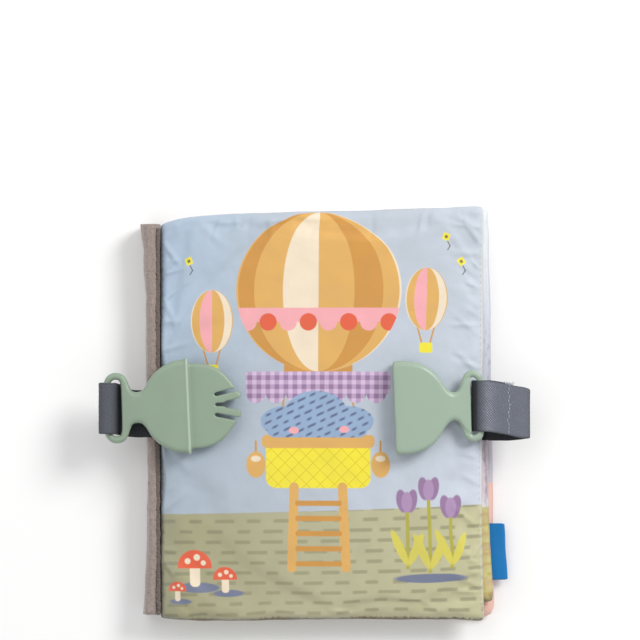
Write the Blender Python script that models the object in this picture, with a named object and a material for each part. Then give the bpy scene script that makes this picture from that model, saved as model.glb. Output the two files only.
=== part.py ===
"""Crinkle cloth book with a two-part clip on webbing straps.

Metres, +Z up. The book lies on its back cover, front cover up, spine to -X.
The origin is on the resting plane, at the plan centre of the whole object.
Plan sizes below are written in "book millimetres": x = 0 is the seam between
the spine and the padded panels, y = 0 is near the line of the clips, z = 0 is
the underside of the back cover.
"""
import math

import bpy
import bmesh
from mathutils import Matrix, Vector

MM = 0.001

# ---------------------------------------------------------------- dimensions
PLAN_X, PLAN_Y = 77.10, -1.13      # book mm of the object's origin in plan

# padded panels: z ranges of the three boards of cloth
BACK_Z = (0.0, 6.4)
LEAF_Z = (6.9, 12.9)
COVER_Z = (13.4, 20.0)
CLOTH_T = 0.7                      # woven cloth, modelled thickness
GAP = 0.35                         # running gap between touching pieces
FILM_T = 0.4                       # crinkle film
EDGE_R = 1.6                       # rounding of a panel's rolled edge

# common hinge line of the leaf and of the front cover, at mid spine
HINGE_X, HINGE_Z = -9.0, 10.0

# webbing
WEB_W = 25.4
WEB_T = 1.2

# clip: both halves are turned the same small angle in plan
CLIP_TILT = math.radians(1.6)
CLIP_Z = 26.7                      # height of the clip's mid plane
MALE_FACE = (14.4, 2.15)           # book mm, centre of the stop flange
FEMALE_FACE = (117.5, 1.2)         # book mm, centre of the socket's mouth
MALE_REACH = 40.2                  # bar axis to flange centre
FEMALE_REACH = 42.4                # bar axis to mouth
CLIP_T = 9.6                       # thickness at the disc
TONGUE_T = 4.8
POCKET_T = 5.8
MALE_BAR_R, MALE_LOOP_RI, MALE_LOOP_RO = 1.7, 3.2, 4.5
FEMALE_BAR_R, FEMALE_LOOP_RI, FEMALE_LOOP_RO = 1.55, 1.9, 3.1

# half widths of the clip halves, against the distance from the parting plane
MALE_W = [(0.0, 23.3), (5.0, 22.9), (10.0, 21.3), (15.0, 18.2), (19.0, 13.9),
          (21.5, 9.8), (23.6, 7.9), (25.9, 7.7), (28.0, 8.5), (30.0, 10.7),
          (31.6, 12.9), (33.7, 14.9)]
MALE_TH = [(0.0, 9.6), (8.0, 9.2), (16.0, 8.0), (24.0, 6.4), (29.0, 4.8), (31.6, 3.2), (33.7, 2.8)]
FEMALE_W = [(0.0, 23.2), (4.5, 23.3), (9.0, 22.8), (14.0, 21.3), (18.4, 18.5),
            (21.5, 15.2), (24.0, 11.4), (26.3, 8.4), (29.0, 7.0), (31.4, 7.9),
            (33.6, 10.9), (35.4, 13.3), (38.0, 14.9)]
FEMALE_TH = [(0.0, 9.6), (10.0, 9.3), (20.0, 8.2), (26.5, 7.2), (31.0, 5.6), (38.0, 3.8)]
TONGUE_W = [(0.0, 20.7), (7.0, 20.2), (10.4, 19.5), (13.0, 18.5), (16.0, 16.7),
            (18.3, 14.7), (20.2, 12.5), (22.0, 10.1), (23.3, 8.5), (24.3, 6.3), (25.6, 6.0)]
# centre line of each eye's arm, as (distance from the parting plane, offset), up to the bar
MALE_ARM = [(29.1, 6.5), (30.7, 10.4), (31.8, 13.3), (33.4, 15.2), (36.0, 15.9), (38.2, 15.2), (39.6, 13.7), (40.2, 12.0)]
FEMALE_ARM = [(32.6, 7.0), (34.4, 11.0), (35.4, 13.6), (36.7, 15.4), (38.4, 16.2), (40.2, 15.8), (41.7, 14.6), (42.4, 12.9)]
ARM_R = 1.8
POCKET_W = [(0.0, 21.9), (7.0, 21.4), (10.4, 20.7), (13.0, 19.7), (16.0, 17.9),
            (18.3, 15.9), (20.2, 13.8), (22.0, 11.5), (23.5, 9.6), (24.8, 7.4), (26.4, 6.9)]

# outlines of the three panels (top and bottom edges against x)
COVER_TOP = [(0.0, 92.5), (6.5, 94.6), (22.5, 97.2), (37.5, 98.2), (85.0, 99.8), (125.0, 101.1), (161.4, 102.1)]
COVER_BOT = [(0.0, -103.2), (36.0, -104.6), (61.5, -104.2), (119.5, -103.7), (137.5, -103.4), (162.2, -104.4)]
LEAF_TOP = [(0.0, 91.0), (45.0, 94.5), (100.0, 96.6), (140.0, 98.6), (164.4, 100.4)]
LEAF_BOT = [(0.0, -97.5), (80.0, -97.8), (166.0, -96.6)]
BACK_TOP = [(0.0, 91.8), (45.0, 95.5), (100.0, 98.0), (163.8, 99.0)]
BACK_BOT = [(0.0, -100.8), (80.0, -101.6), (166.6, -103.9)]


# ------------------------------------------------------------------- helpers
def clear_scene():
    for obj in list(bpy.data.objects):
        bpy.data.objects.remove(obj, do_unlink=True)


def material(name, colour, rough, metal=0.0):
    mat = bpy.data.materials.new(name)
    mat.use_nodes = True
    shader = mat.node_tree.nodes["Principled BSDF"]
    shader.inputs["Base Color"].default_value = (*colour, 1.0)
    shader.inputs["Roughness"].default_value = rough
    shader.inputs["Metallic"].default_value = metal
    mat.diffuse_color = (*colour, 1.0)
    return mat


def plan(x, y, z):
    """Book millimetres to world metres."""
    return Vector(((x - PLAN_X) * MM, (y - PLAN_Y) * MM, z * MM))


def empty(name, pos, parent=None, tilt=0.0):
    obj = bpy.data.objects.new(name, None)
    bpy.context.collection.objects.link(obj)
    obj.empty_display_size = 0.01
    if parent is not None:
        obj.parent = parent
    obj.matrix_world = Matrix.Translation(pos) @ Matrix.Rotation(tilt, 4, "Z")
    bpy.context.view_layer.update()
    return obj


def solid(name, verts, faces, mat, parent=None, local=False, smooth=30.0):
    """An object from points in world metres, or in its parent's own axes."""
    inverse = Matrix.Identity(4)
    if parent is not None and not local:
        inverse = parent.matrix_world.inverted()
    mesh = bpy.data.meshes.new(name)
    mesh.from_pydata([tuple(inverse @ Vector(v)) for v in verts], [], faces)
    work = bmesh.new()
    work.from_mesh(mesh)
    bmesh.ops.recalc_face_normals(work, faces=work.faces)
    work.to_mesh(mesh)
    work.free()
    mesh.shade_smooth()
    mesh.set_sharp_from_angle(angle=math.radians(smooth))
    mesh.materials.append(mat)
    obj = bpy.data.objects.new(name, mesh)
    bpy.context.collection.objects.link(obj)
    if parent is not None:
        obj.parent = parent
    bpy.context.view_layer.update()
    return obj


def cutter(name, verts, faces, parent=None, local=False):
    obj = solid(name, verts, faces, MATS["clip"], parent, local)
    obj.display_type = "WIRE"
    obj.hide_render = True
    return obj


def boolean(obj, other, operation):
    mod = obj.modifiers.new(operation.lower() + "_" + other.name, "BOOLEAN")
    mod.operation = operation
    mod.solver = "EXACT"
    mod.object = other


def curve_at(table, x):
    """Smooth monotone reading of a table of (x, value) points."""
    if x <= table[0][0]:
        return table[0][1]
    if x >= table[-1][0]:
        return table[-1][1]
    n = len(table)
    xs = [p[0] for p in table]
    ys = [p[1] for p in table]
    d = [(ys[i + 1] - ys[i]) / (xs[i + 1] - xs[i]) for i in range(n - 1)]
    m = [d[0]] + [0.0 if d[i - 1] * d[i] <= 0 else 2 * d[i - 1] * d[i] / (d[i - 1] + d[i])
                  for i in range(1, n - 1)] + [d[-1]]
    for i in range(n - 1):
        if x <= xs[i + 1]:
            h = xs[i + 1] - xs[i]
            t = (x - xs[i]) / h
            return (ys[i] * (1 + 2 * t) * (1 - t) ** 2 + m[i] * h * t * (1 - t) ** 2
                    + ys[i + 1] * t * t * (3 - 2 * t) + m[i + 1] * h * t * t * (t - 1))
    return ys[-1]


def panel_outline(shape, d=0.0, steps=6):
    """Closed plan outline of a panel moved in by d, counter-clockwise."""
    top, bot, corner = shape
    top = [(x, y - d) for x, y in top]
    bot = [(x, y + d) for x, y in bot]
    x0 = top[0][0] + d
    x1, xb1 = top[-1][0] - d, bot[-1][0] - d
    r = max(0.8, corner - 0.8 * d)
    yb, yt = curve_at(bot, xb1), curve_at(top, x1)
    pts = []
    for i in range(13):                          # bottom edge, left to right
        x = x0 + 1.5 + (xb1 - r - x0 - 1.5) * i / 12
        pts.append((x, curve_at(bot, x)))
    for i in range(1, steps):                    # bottom right corner
        a = -math.pi / 2 + math.pi / 2 * i / steps
        pts.append((xb1 - r + r * math.cos(a), yb + r + r * math.sin(a)))
    for i in range(9):                           # fore edge
        t = i / 8
        pts.append((xb1 + (x1 - xb1) * t, (yb + r) + (yt - r - yb - r) * t))
    for i in range(1, steps):                    # top right corner
        a = math.pi / 2 * i / steps
        pts.append((x1 - r + r * math.cos(a), yt - r + r * math.sin(a)))
    for i in range(13):                          # top edge, right to left
        x = x1 - r + (x0 + 1.5 - x1 + r) * i / 12
        pts.append((x, curve_at(top, x)))
    ytl, ybl = curve_at(top, x0), curve_at(bot, x0)
    pts.append((x0 + 0.4, ytl - 0.5))
    for i in range(9):                           # spine side
        t = i / 8
        pts.append((x0, (ytl - 1.6) + (ybl + 1.6 - ytl + 1.6) * t))
    pts.append((x0 + 0.4, ybl + 0.5))
    return pts


def skin(rings, caps=True):
    """Faces over rings of equal length, capped at both ends."""
    n = len(rings[0])
    verts = [v for ring in rings for v in ring]
    faces = []
    for k in range(len(rings) - 1):
        for i in range(n):
            j = (i + 1) % n
            faces.append((k * n + i, k * n + j, (k + 1) * n + j, (k + 1) * n + i))
    if caps:
        faces.append(tuple(range(n)))
        faces.append(tuple(range((len(rings) - 1) * n, len(rings) * n)))
    return verts, faces


def slab(name, outline, z0, z1, mat, parent):
    """A flat sheet between two heights."""
    verts, faces = skin([[plan(x, y, z0) for x, y in outline], [plan(x, y, z1) for x, y in outline]])
    return solid(name, verts, faces, mat, parent)


def wad(name, shape, d, z0, z1, mat, parent, bevel=0.8):
    """Wadding of a panel's outline moved in by d, edges eased by bevel."""
    rings = [[plan(x, y, z) for x, y in panel_outline(shape, e)]
             for e, z in ((d + bevel, z0), (d, z0 + bevel), (d, z1 - bevel), (d + bevel, z1))]
    verts, faces = skin(rings)
    return solid(name, verts, faces, mat, parent)


def tray(name, shape, z_rim, z_face, mat, parent):
    """One cloth of a panel: a face with its edge folded over the wadding."""
    s = 1.0 if z_face > z_rim else -1.0
    r, t = EDGE_R, CLOTH_T
    rings = [[plan(x, y, z_rim) for x, y in panel_outline(shape)]]
    for a in (0.0, 30.0, 60.0, 90.0):
        q = math.radians(a)
        rings.append([plan(x, y, z_face - s * r * (1 - math.sin(q)))
                      for x, y in panel_outline(shape, r * (1 - math.cos(q)) + 1e-5)])
    inner = [[plan(x, y, z) for x, y in panel_outline(shape, e)]
             for e, z in ((t, z_rim), (t, z_face - s * r), (r, z_face - s * t))]
    n = len(rings[0])
    outer_v, outer_f = skin(rings, caps=False)
    inner_v, inner_f = skin(inner, caps=False)
    base = len(outer_v)
    verts = outer_v + inner_v
    faces = list(outer_f) + [tuple(base + i for i in f) for f in inner_f]
    faces.append(tuple(range((len(rings) - 1) * n, len(rings) * n)))
    faces.append(tuple(range(base + 2 * n, base + 3 * n)))
    for i in range(n):
        j = (i + 1) % n
        faces.append((i, j, base + j, base + i))
    return solid(name, verts, faces, mat, parent)


def rounded(a, b, r, per=6):
    """Rounded rectangle of half sizes a and b, corner radius r."""
    pts = []
    r = min(r, a * 0.98, b * 0.98)
    for cx, cy, start in ((a - r, b - r, 0), (-a + r, b - r, 90), (-a + r, -b + r, 180), (a - r, -b + r, 270)):
        for i in range(per + 1):
            q = math.radians(start + 90 * i / per)
            pts.append((cx + r * math.cos(q), cy + r * math.sin(q)))
    return pts


def clip_loft(widths, heights, s_list, x_of_s, radius, per=6):
    """Rings of a clip half in its own axes, metres: x along, y across, z up."""
    rings = []
    for s in s_list:
        a = curve_at(widths, s)
        b = (curve_at(heights, s) if isinstance(heights, list) else heights) / 2
        rings.append([(x_of_s(s) * MM, y * MM, z * MM) for y, z in rounded(a, b, radius, per)])
    return rings


def tube(points, radius, sides=14):
    """Round rod through points given in metres; radius is one value or one per point."""
    pts = [Vector(p) for p in points]
    sizes = radius if isinstance(radius, list) else [radius] * len(pts)
    rings = []
    up = Vector((0, 0, 1))
    for i, p in enumerate(pts):
        radius = sizes[i]
        t = (pts[min(i + 1, len(pts) - 1)] - pts[max(i - 1, 0)]).normalized()
        side = t.cross(up).normalized()
        rings.append([tuple(p + side * radius * math.cos(2 * math.pi * k / sides)
                            + up * radius * math.sin(2 * math.pi * k / sides)) for k in range(sides)])
    return skin(rings)


def web(name, path, mat, parent, width=WEB_W, thick=WEB_T):
    """Flat webbing along a path of (x, z, y centre) in book millimetres."""
    rings = []
    n = len(path)
    for i in range(n):
        x, z, yc = path[i]
        ax, az, _ = path[max(i - 1, 0)]
        bx, bz, _ = path[min(i + 1, n - 1)]
        t = Vector((bx - ax, bz - az)).normalized()
        nx, nz = -t.y * thick / 2, t.x * thick / 2
        rings.append([plan(x + nx, yc + width / 2, z + nz), plan(x - nx, yc + width / 2, z - nz),
                      plan(x - nx, yc - width / 2, z - nz), plan(x + nx, yc - width / 2, z + nz)])
    verts, faces = skin(rings)
    return solid(name, verts, faces, mat, parent, smooth=50.0)


def smooth_path(knots, count):
    """Catmull-Rom curve through knots, as count points."""
    out = []
    segs = len(knots) - 1
    for k in range(count):
        u = k / (count - 1) * segs
        i = min(int(u), segs - 1)
        t = u - i
        p = [knots[max(i - 1, 0)], knots[i], knots[i + 1], knots[min(i + 2, segs)]]
        out.append(tuple(0.5 * ((2 * p[1][c]) + (-p[0][c] + p[2][c]) * t
                                + (2 * p[0][c] - 5 * p[1][c] + 4 * p[2][c] - p[3][c]) * t * t
                                + (-p[0][c] + 3 * p[1][c] - 3 * p[2][c] + p[3][c]) * t ** 3)
                         for c in range(len(knots[0]))))
    return out


def sleeve(name, ro, ri, mat, parent):
    """The turn of webbing round a clip's bar, in the bar's own axes."""
    n = 28
    half = WEB_W / 2
    rings = []
    for r, y in ((ro, -half), (ro, half), (ri, half), (ri, -half), (ro, -half)):
        rings.append([(r * math.cos(2 * math.pi * k / n) * MM, y * MM,
                       r * math.sin(2 * math.pi * k / n) * MM) for k in range(n)])
    verts = [v for ring in rings[:4] for v in ring]
    faces = []
    for k in range(4):
        for i in range(n):
            j = (i + 1) % n
            a, b = k * n, ((k + 1) % 4) * n
            faces.append((a + i, a + j, b + j, b + i))
    return solid(name, verts, faces, mat, parent, local=True)


def extrude_plan(poly, z0, z1):
    """Prism of a plan polygon, own axes, metres."""
    return skin([[(x * MM, y * MM, z0 * MM) for x, y in poly], [(x * MM, y * MM, z1 * MM) for x, y in poly]])


# ------------------------------------------------------------------- assembly
clear_scene()

MATS = {
    "print": material("printed_cloth", (0.62, 0.72, 0.80), 0.75),
    "page": material("page_cloth", (0.86, 0.80, 0.72), 0.8),
    "back": material("back_cloth", (0.83, 0.55, 0.47), 0.8),
    "spine": material("spine_cloth", (0.42, 0.34, 0.31), 0.95),
    "wadding": material("wadding", (0.90, 0.90, 0.88), 0.95),
    "film": material("crinkle_film", (0.80, 0.84, 0.88), 0.25),
    "web": material("webbing", (0.11, 0.12, 0.15), 0.85),
    "clip": material("clip_plastic", (0.38, 0.52, 0.41), 0.45),
    "thread": material("thread", (0.80, 0.80, 0.78), 0.7),
    "tag": material("tag_tape", (0.02, 0.19, 0.54), 0.7),
}

hinge = plan(HINGE_X, 0.0, HINGE_Z)
leaf_hinge = empty("leaf_hinge_axis", hinge)
cover_hinge = empty("cover_hinge_axis", hinge, leaf_hinge)

along = Vector((math.cos(CLIP_TILT), math.sin(CLIP_TILT)))
male_bar = Vector(MALE_FACE) - along * MALE_REACH
female_bar = Vector(FEMALE_FACE) + along * FEMALE_REACH
left_axis = empty("left_clip_axis", plan(male_bar.x, male_bar.y, CLIP_Z), cover_hinge, CLIP_TILT)
right_axis = empty("right_clip_axis", plan(female_bar.x, female_bar.y, CLIP_Z), cover_hinge, CLIP_TILT)


# padded panels: two cloths sewn edge to edge round wadding and crinkle film
def panel(prefix, shape, z, face_name, page_name, face_mat, page_mat, face_up, parent):
    z0, z1 = z
    line, inner = panel_outline(shape), panel_outline(shape, 2.2)
    if face_up:
        tray(face_name, shape, z0 + CLOTH_T + GAP, z1, face_mat, parent)
        slab(page_name, line, z0, z0 + CLOTH_T, page_mat, parent)
        slab(prefix + "_crinkle_film", inner, z0 + CLOTH_T + GAP, z0 + CLOTH_T + GAP + FILM_T, MATS["film"], parent)
        wad(prefix + "_wadding", shape, 2.2, z0 + CLOTH_T + 2 * GAP + FILM_T, z1 - CLOTH_T - GAP, MATS["wadding"], parent)
    else:
        tray(face_name, shape, z1 - CLOTH_T - GAP, z0, face_mat, parent)
        slab(page_name, line, z1 - CLOTH_T, z1, page_mat, parent)
        slab(prefix + "_crinkle_film", inner, z1 - CLOTH_T - GAP - FILM_T, z1 - CLOTH_T - GAP, MATS["film"], parent)
        wad(prefix + "_wadding", shape, 2.2, z0 + CLOTH_T + GAP, z1 - CLOTH_T - 2 * GAP - FILM_T, MATS["wadding"], parent)


COVER_SHAPE = (COVER_TOP, COVER_BOT, 3.0)
LEAF_SHAPE = (LEAF_TOP, LEAF_BOT, 4.0)
BACK_SHAPE = (BACK_TOP, BACK_BOT, 6.5)
panel("back", BACK_SHAPE, BACK_Z, "back_outer_cloth", "back_page_cloth", MATS["back"], MATS["page"], False, None)
panel("leaf", LEAF_SHAPE, LEAF_Z, "leaf_front_page_cloth", "leaf_back_page_cloth", MATS["page"], MATS["page"], True, leaf_hinge)
panel("cover", COVER_SHAPE, COVER_Z, "cover_print_cloth", "cover_page_cloth", MATS["print"], MATS["page"], True, cover_hinge)


# spine: one wrap of cloth, in two halves either side of the leaf's seam tab
def spine_half(name, front, parent):
    rings = []
    for i in range(13):
        t = i / 12
        y = -102.4 + (93.0 + 102.4) * t
        w = 6.5 + 1.6 * (2 * t - 1) ** 4 + (0.4 if t > 0.95 else 0.0)
        if front:
            prof = [(-0.4, 10.95), (-w, 10.95), (-w, 14.5), (-0.9 * w, 17.6), (-0.55 * w, 19.5), (-0.4, 19.9)]
        else:
            prof = [(-0.4, 0.35), (-0.55 * w, 0.5), (-0.9 * w, 2.6), (-w, 5.6), (-w, 9.05), (-0.4, 9.05)]
        rings.append([plan(x, y, z) for x, z in prof])
    verts, faces = skin(rings)
    return solid(name, verts, faces, MATS["spine"], parent)


spine_half("spine_back_cloth", False, None)
spine_half("spine_front_cloth", True, cover_hinge)
slab("leaf_seam_tab", [(-5.6, -97.0), (-0.4, -97.0), (-0.4, 90.5), (-5.6, 90.5)], 9.4, 10.6, MATS["spine"], leaf_hinge)


# seam and edge stitching, each row one run of thread
def thread_run(name, pts, z, mat, parent, w=0.6, t=0.4):
    rings = []
    n = len(pts)
    for i in range(n):
        ax, ay = pts[max(i - 1, 0)]
        bx, by = pts[min(i + 1, n - 1)]
        d = Vector((bx - ax, by - ay)).normalized()
        nx, ny = -d.y * w / 2, d.x * w / 2
        x, y = pts[i]
        rings.append([plan(x + nx, y + ny, z), plan(x - nx, y - ny, z),
                      plan(x - nx, y - ny, z + t), plan(x + nx, y + ny, z + t)])
    verts, faces = skin(rings)
    return solid(name, verts, faces, mat, parent)


thread_run("cover_edge_stitch", [(160.4, -98.0), (160.2, -30.0), (160.1, 30.0), (159.9, 96.0)], COVER_Z[1] + 0.3, MATS["thread"], cover_hinge)
thread_run("spine_seam_stitch", [(2.4, -98.0), (2.4, -30.0), (2.4, 30.0), (2.4, 89.5)], COVER_Z[1] + 0.3 - 0.35 + 0.05, MATS["thread"], cover_hinge, t=0.25)
thread_run("leaf_edge_stitch", [(162.4, -92.5), (161.6, 0.0), (160.2, 91.5)], LEAF_Z[1] + 0.05, MATS["thread"], leaf_hinge, t=0.2)
thread_run("back_edge_stitch", [(163.0, -99.0), (161.5, 0.0), (159.6, 93.5)], BACK_Z[1] + 0.05, MATS["thread"], None, t=0.2)


# webbing straps and the turns round the clip bars
left_knots = [(-0.7, 20.9, -1.9), (-6.0, 20.95, -1.9), (-12.0, 20.8, -1.8), (-18.0, 20.7, -1.1), (-22.5, 20.95, 0.0), (-26.6, 21.25, 1.0)]
web("left_strap", smooth_path(left_knots, 16), MATS["web"], cover_hinge)
right_knots = [(163.0, 17.5, -3.6), (168.5, 18.3, -3.6), (174.0, 18.9, -3.5), (180.0, 20.0, -3.0), (183.6, 22.0, -2.3),
               (184.2, 24.3, -1.8), (182.8, 26.4, -1.3), (178.5, 27.9, -0.7), (173.0, 28.7, 0.5), (168.0, 29.1, 1.45), (163.7, 29.25, 2.1)]
web("right_strap", smooth_path(right_knots, 34), MATS["web"], cover_hinge)
sleeve("left_strap_loop", MALE_LOOP_RO, MALE_LOOP_RI, MATS["web"], left_axis)
sleeve("right_strap_loop", FEMALE_LOOP_RO, FEMALE_LOOP_RI, MATS["web"], right_axis)


def cross_stitch(name, x, z, yc, parent):
    v, f = skin([[plan(x - 0.4, yc - 11.5, z), plan(x + 0.4, yc - 11.5, z), plan(x + 0.4, yc - 11.5, z + 0.4), plan(x - 0.4, yc - 11.5, z + 0.4)],
                 [plan(x - 0.4, yc + 11.5, z), plan(x + 0.4, yc + 11.5, z), plan(x + 0.4, yc + 11.5, z + 0.4), plan(x - 0.4, yc + 11.5, z + 0.4)]])
    return solid(name, v, f, MATS["thread"], parent)


cross_stitch("left_strap_stitch", -16.4, 21.75, 0.0, left_axis)
cross_stitch("right_strap_stitch", 174.2, 29.5, 0.3, right_axis)


# side tag: a short folded tape caught in the fore edge of the back cover
tag = [(166.7, -84.6), (171.8, -84.9), (173.4, -84.0), (173.9, -82.2), (172.6, -57.6), (171.6, -56.7), (166.4, -56.9)]
slab("side_tag", tag, 4.7, 6.0, MATS["tag"], None)


# ----------------------------------------------------------------- clip halves
def spread(a, b, n):
    return [a + (b - a) * i / (n - 1) for i in range(n)]


def eye(arm, bar_r, reach, sign):
    """The round eye: two arms and the thinner bar between them."""
    x = lambda s: sign * (reach - s) * MM
    side = [(x(s), y * MM, 0.0) for s, y in smooth_path(arm, 26)]
    other = [(px, -py, pz) for px, py, pz in reversed(side)]
    mid = [(x(reach), y * MM, 0.0) for y in spread(arm[-1][1], -arm[-1][1], 7)[1:-1]]
    points = side + mid + other
    wide = lambda y: bar_r + (ARM_R - bar_r) * min(1.0, max(0.0, (abs(y) / MM - 13.3) / 1.0)) if ARM_R > bar_r else bar_r
    return tube(points, [wide(p[1]) * MM for p in points])


def male_clip():
    x = lambda s: (MALE_REACH - s) * MM / MM
    s_list = spread(0.0, 33.0, 34)
    v, f = skin(clip_loft(MALE_W, MALE_TH, s_list, x, 2.6))
    body = solid("male_clip", v, f, MATS["clip"], left_axis, local=True)
    # stop flange at the parting plane
    flange = []
    for d, grow in ((-1.25, 0.0), (-0.9, 0.55), (0.9, 0.55), (1.25, 0.0)):
        flange.append([((MALE_REACH + d) * MM, y * MM, z * MM) for y, z in rounded(23.4 + grow, 4.75 + 0.5 * grow, 2.8)])
    fv, ff = skin(flange)
    boolean(body, cutter("male_flange", fv, ff, left_axis, True), "UNION")
    # tongue
    tv, tf = skin(clip_loft(TONGUE_W, TONGUE_T, [-0.6 + 0.0] + spread(0.4, 25.6, 30), lambda s: MALE_REACH + s, 1.5, 4))
    boolean(body, cutter("male_tongue", tv, tf, left_axis, True), "UNION")
    # round eye
    ev, ef = eye(MALE_ARM, MALE_BAR_R, MALE_REACH, 1.0)
    boolean(body, cutter("male_eye", ev, ef, left_axis, True), "UNION")
    # raised rim along the neck's side of the eye
    rim = [((MALE_REACH - s) * MM, y * MM, 0.0) for s, y in smooth_path([(32.3, 13.6), (31.7, 10.0), (31.6, 0.0), (31.7, -10.0), (32.3, -13.6)], 21)]
    rv, rf = tube(rim, 1.68 * MM)
    boolean(body, cutter("male_rim", rv, rf, left_axis, True), "UNION")
    # three slots that free the two prongs
    o = MALE_REACH

    def slot(name, s0, v0, s1, v1, w):
        a = math.atan2(v1 - v0, s1 - s0)
        nx, ny = -math.sin(a) * w / 2, math.cos(a) * w / 2
        poly = [(o + s1 + nx, v1 + ny)]
        for i in range(9):
            q = a + math.pi / 2 + math.pi * i / 8
            poly.append((o + s0 + math.cos(q) * w / 2, v0 + math.sin(q) * w / 2))
        poly.append((o + s1 - nx, v1 - ny))
        cv, cf = extrude_plan(poly, -6.0, 6.0)
        boolean(body, cutter(name, cv, cf, left_axis, True), "DIFFERENCE")

    slot("slot_upper", 13.7, 5.3, 30.0, 8.9, 1.7)
    slot("slot_lower", 13.7, -4.5, 30.0, -8.1, 1.7)
    poly = [(o + 30.0, 4.2), (o + 18.6, 1.95), (o + 17.3, 1.2)]
    for i in range(7):
        q = math.pi / 2 + math.pi * i / 6
        poly.append((o + 13.9 + math.cos(q) * 0.75, 0.4 + math.sin(q) * 0.75))
    poly += [(o + 17.3, -0.5), (o + 18.6, -1.25), (o + 30.0, -3.4)]
    cv, cf = extrude_plan(poly, -6.0, 6.0)
    boolean(body, cutter("slot_middle", cv, cf, left_axis, True), "DIFFERENCE")
    return body


def female_clip():
    x = lambda s: -(FEMALE_REACH - s)
    s_list = [0.0, 0.45, 1.1] + spread(2.2, 37.6, 36)
    rings = []
    for s in s_list:
        ease = 0.9 * (1 - min(1.0, s / 1.1)) ** 2
        a = curve_at(FEMALE_W, s) - ease
        b = curve_at(FEMALE_TH, s) / 2 - 0.6 * ease
        rings.append([(x(s) * MM, y * MM, z * MM) for y, z in rounded(a, b, 2.6)])
    v, f = skin(rings)
    body = solid("female_clip", v, f, MATS["clip"], right_axis, local=True)
    ev, ef = eye(FEMALE_ARM, FEMALE_BAR_R, FEMALE_REACH, -1.0)
    boolean(body, cutter("female_eye", ev, ef, right_axis, True), "UNION")
    pv, pf = skin(clip_loft(POCKET_W, POCKET_T, [-2.0] + spread(0.0, 26.4, 24), x, 0.6, 3))
    boolean(body, cutter("female_pocket", pv, pf, right_axis, True), "DIFFERENCE")
    return body


male_clip()
female_clip()
bpy.context.view_layer.update()
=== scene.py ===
import math

import bmesh
import bpy
import numpy as np
from mathutils import Matrix, Vector, noise
from mathutils.bvhtree import BVHTree


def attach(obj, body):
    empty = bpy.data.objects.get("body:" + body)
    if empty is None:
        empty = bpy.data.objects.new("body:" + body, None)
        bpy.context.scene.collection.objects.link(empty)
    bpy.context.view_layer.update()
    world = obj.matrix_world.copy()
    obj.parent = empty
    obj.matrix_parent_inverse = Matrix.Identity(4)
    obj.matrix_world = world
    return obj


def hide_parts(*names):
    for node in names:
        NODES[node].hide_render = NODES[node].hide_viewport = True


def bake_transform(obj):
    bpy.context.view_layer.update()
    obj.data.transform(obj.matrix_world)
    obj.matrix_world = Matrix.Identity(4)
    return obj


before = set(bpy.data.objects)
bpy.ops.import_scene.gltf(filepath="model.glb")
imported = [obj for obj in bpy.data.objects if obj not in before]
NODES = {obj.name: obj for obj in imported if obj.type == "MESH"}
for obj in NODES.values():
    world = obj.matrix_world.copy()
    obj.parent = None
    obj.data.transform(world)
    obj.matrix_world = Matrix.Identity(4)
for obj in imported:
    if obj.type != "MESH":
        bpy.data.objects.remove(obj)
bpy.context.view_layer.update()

# Plan units. "flat" coordinates are half millimetres on the laid-out cloth,
# x to the right and y down, the units in which the print is laid out.
OX, OY = 314.2, 412.26


def fx(x):
    return (x - OX) * 0.0005


def fy(y):
    return (OY - y) * 0.0005


def to_flat(x, y):
    return x / 0.0005 + OX, OY - y / 0.0005


def mm(x, y, z):
    """Book millimetres (seam at x = 0, clip line at y = 0) to metres."""
    return Vector(((x - 77.10) * 0.001, (y + 1.13) * 0.001, z * 0.001))


RNG = np.random.default_rng(20261)


# ------------------------------------------------------------------ node tools
def srgb(r, g, b):
    out = []
    for c in (r, g, b):
        c = c / 255.0
        out.append(c / 12.92 if c <= 0.04045 else ((c + 0.055) / 1.055) ** 2.4)
    return (*out, 1.0)


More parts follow.
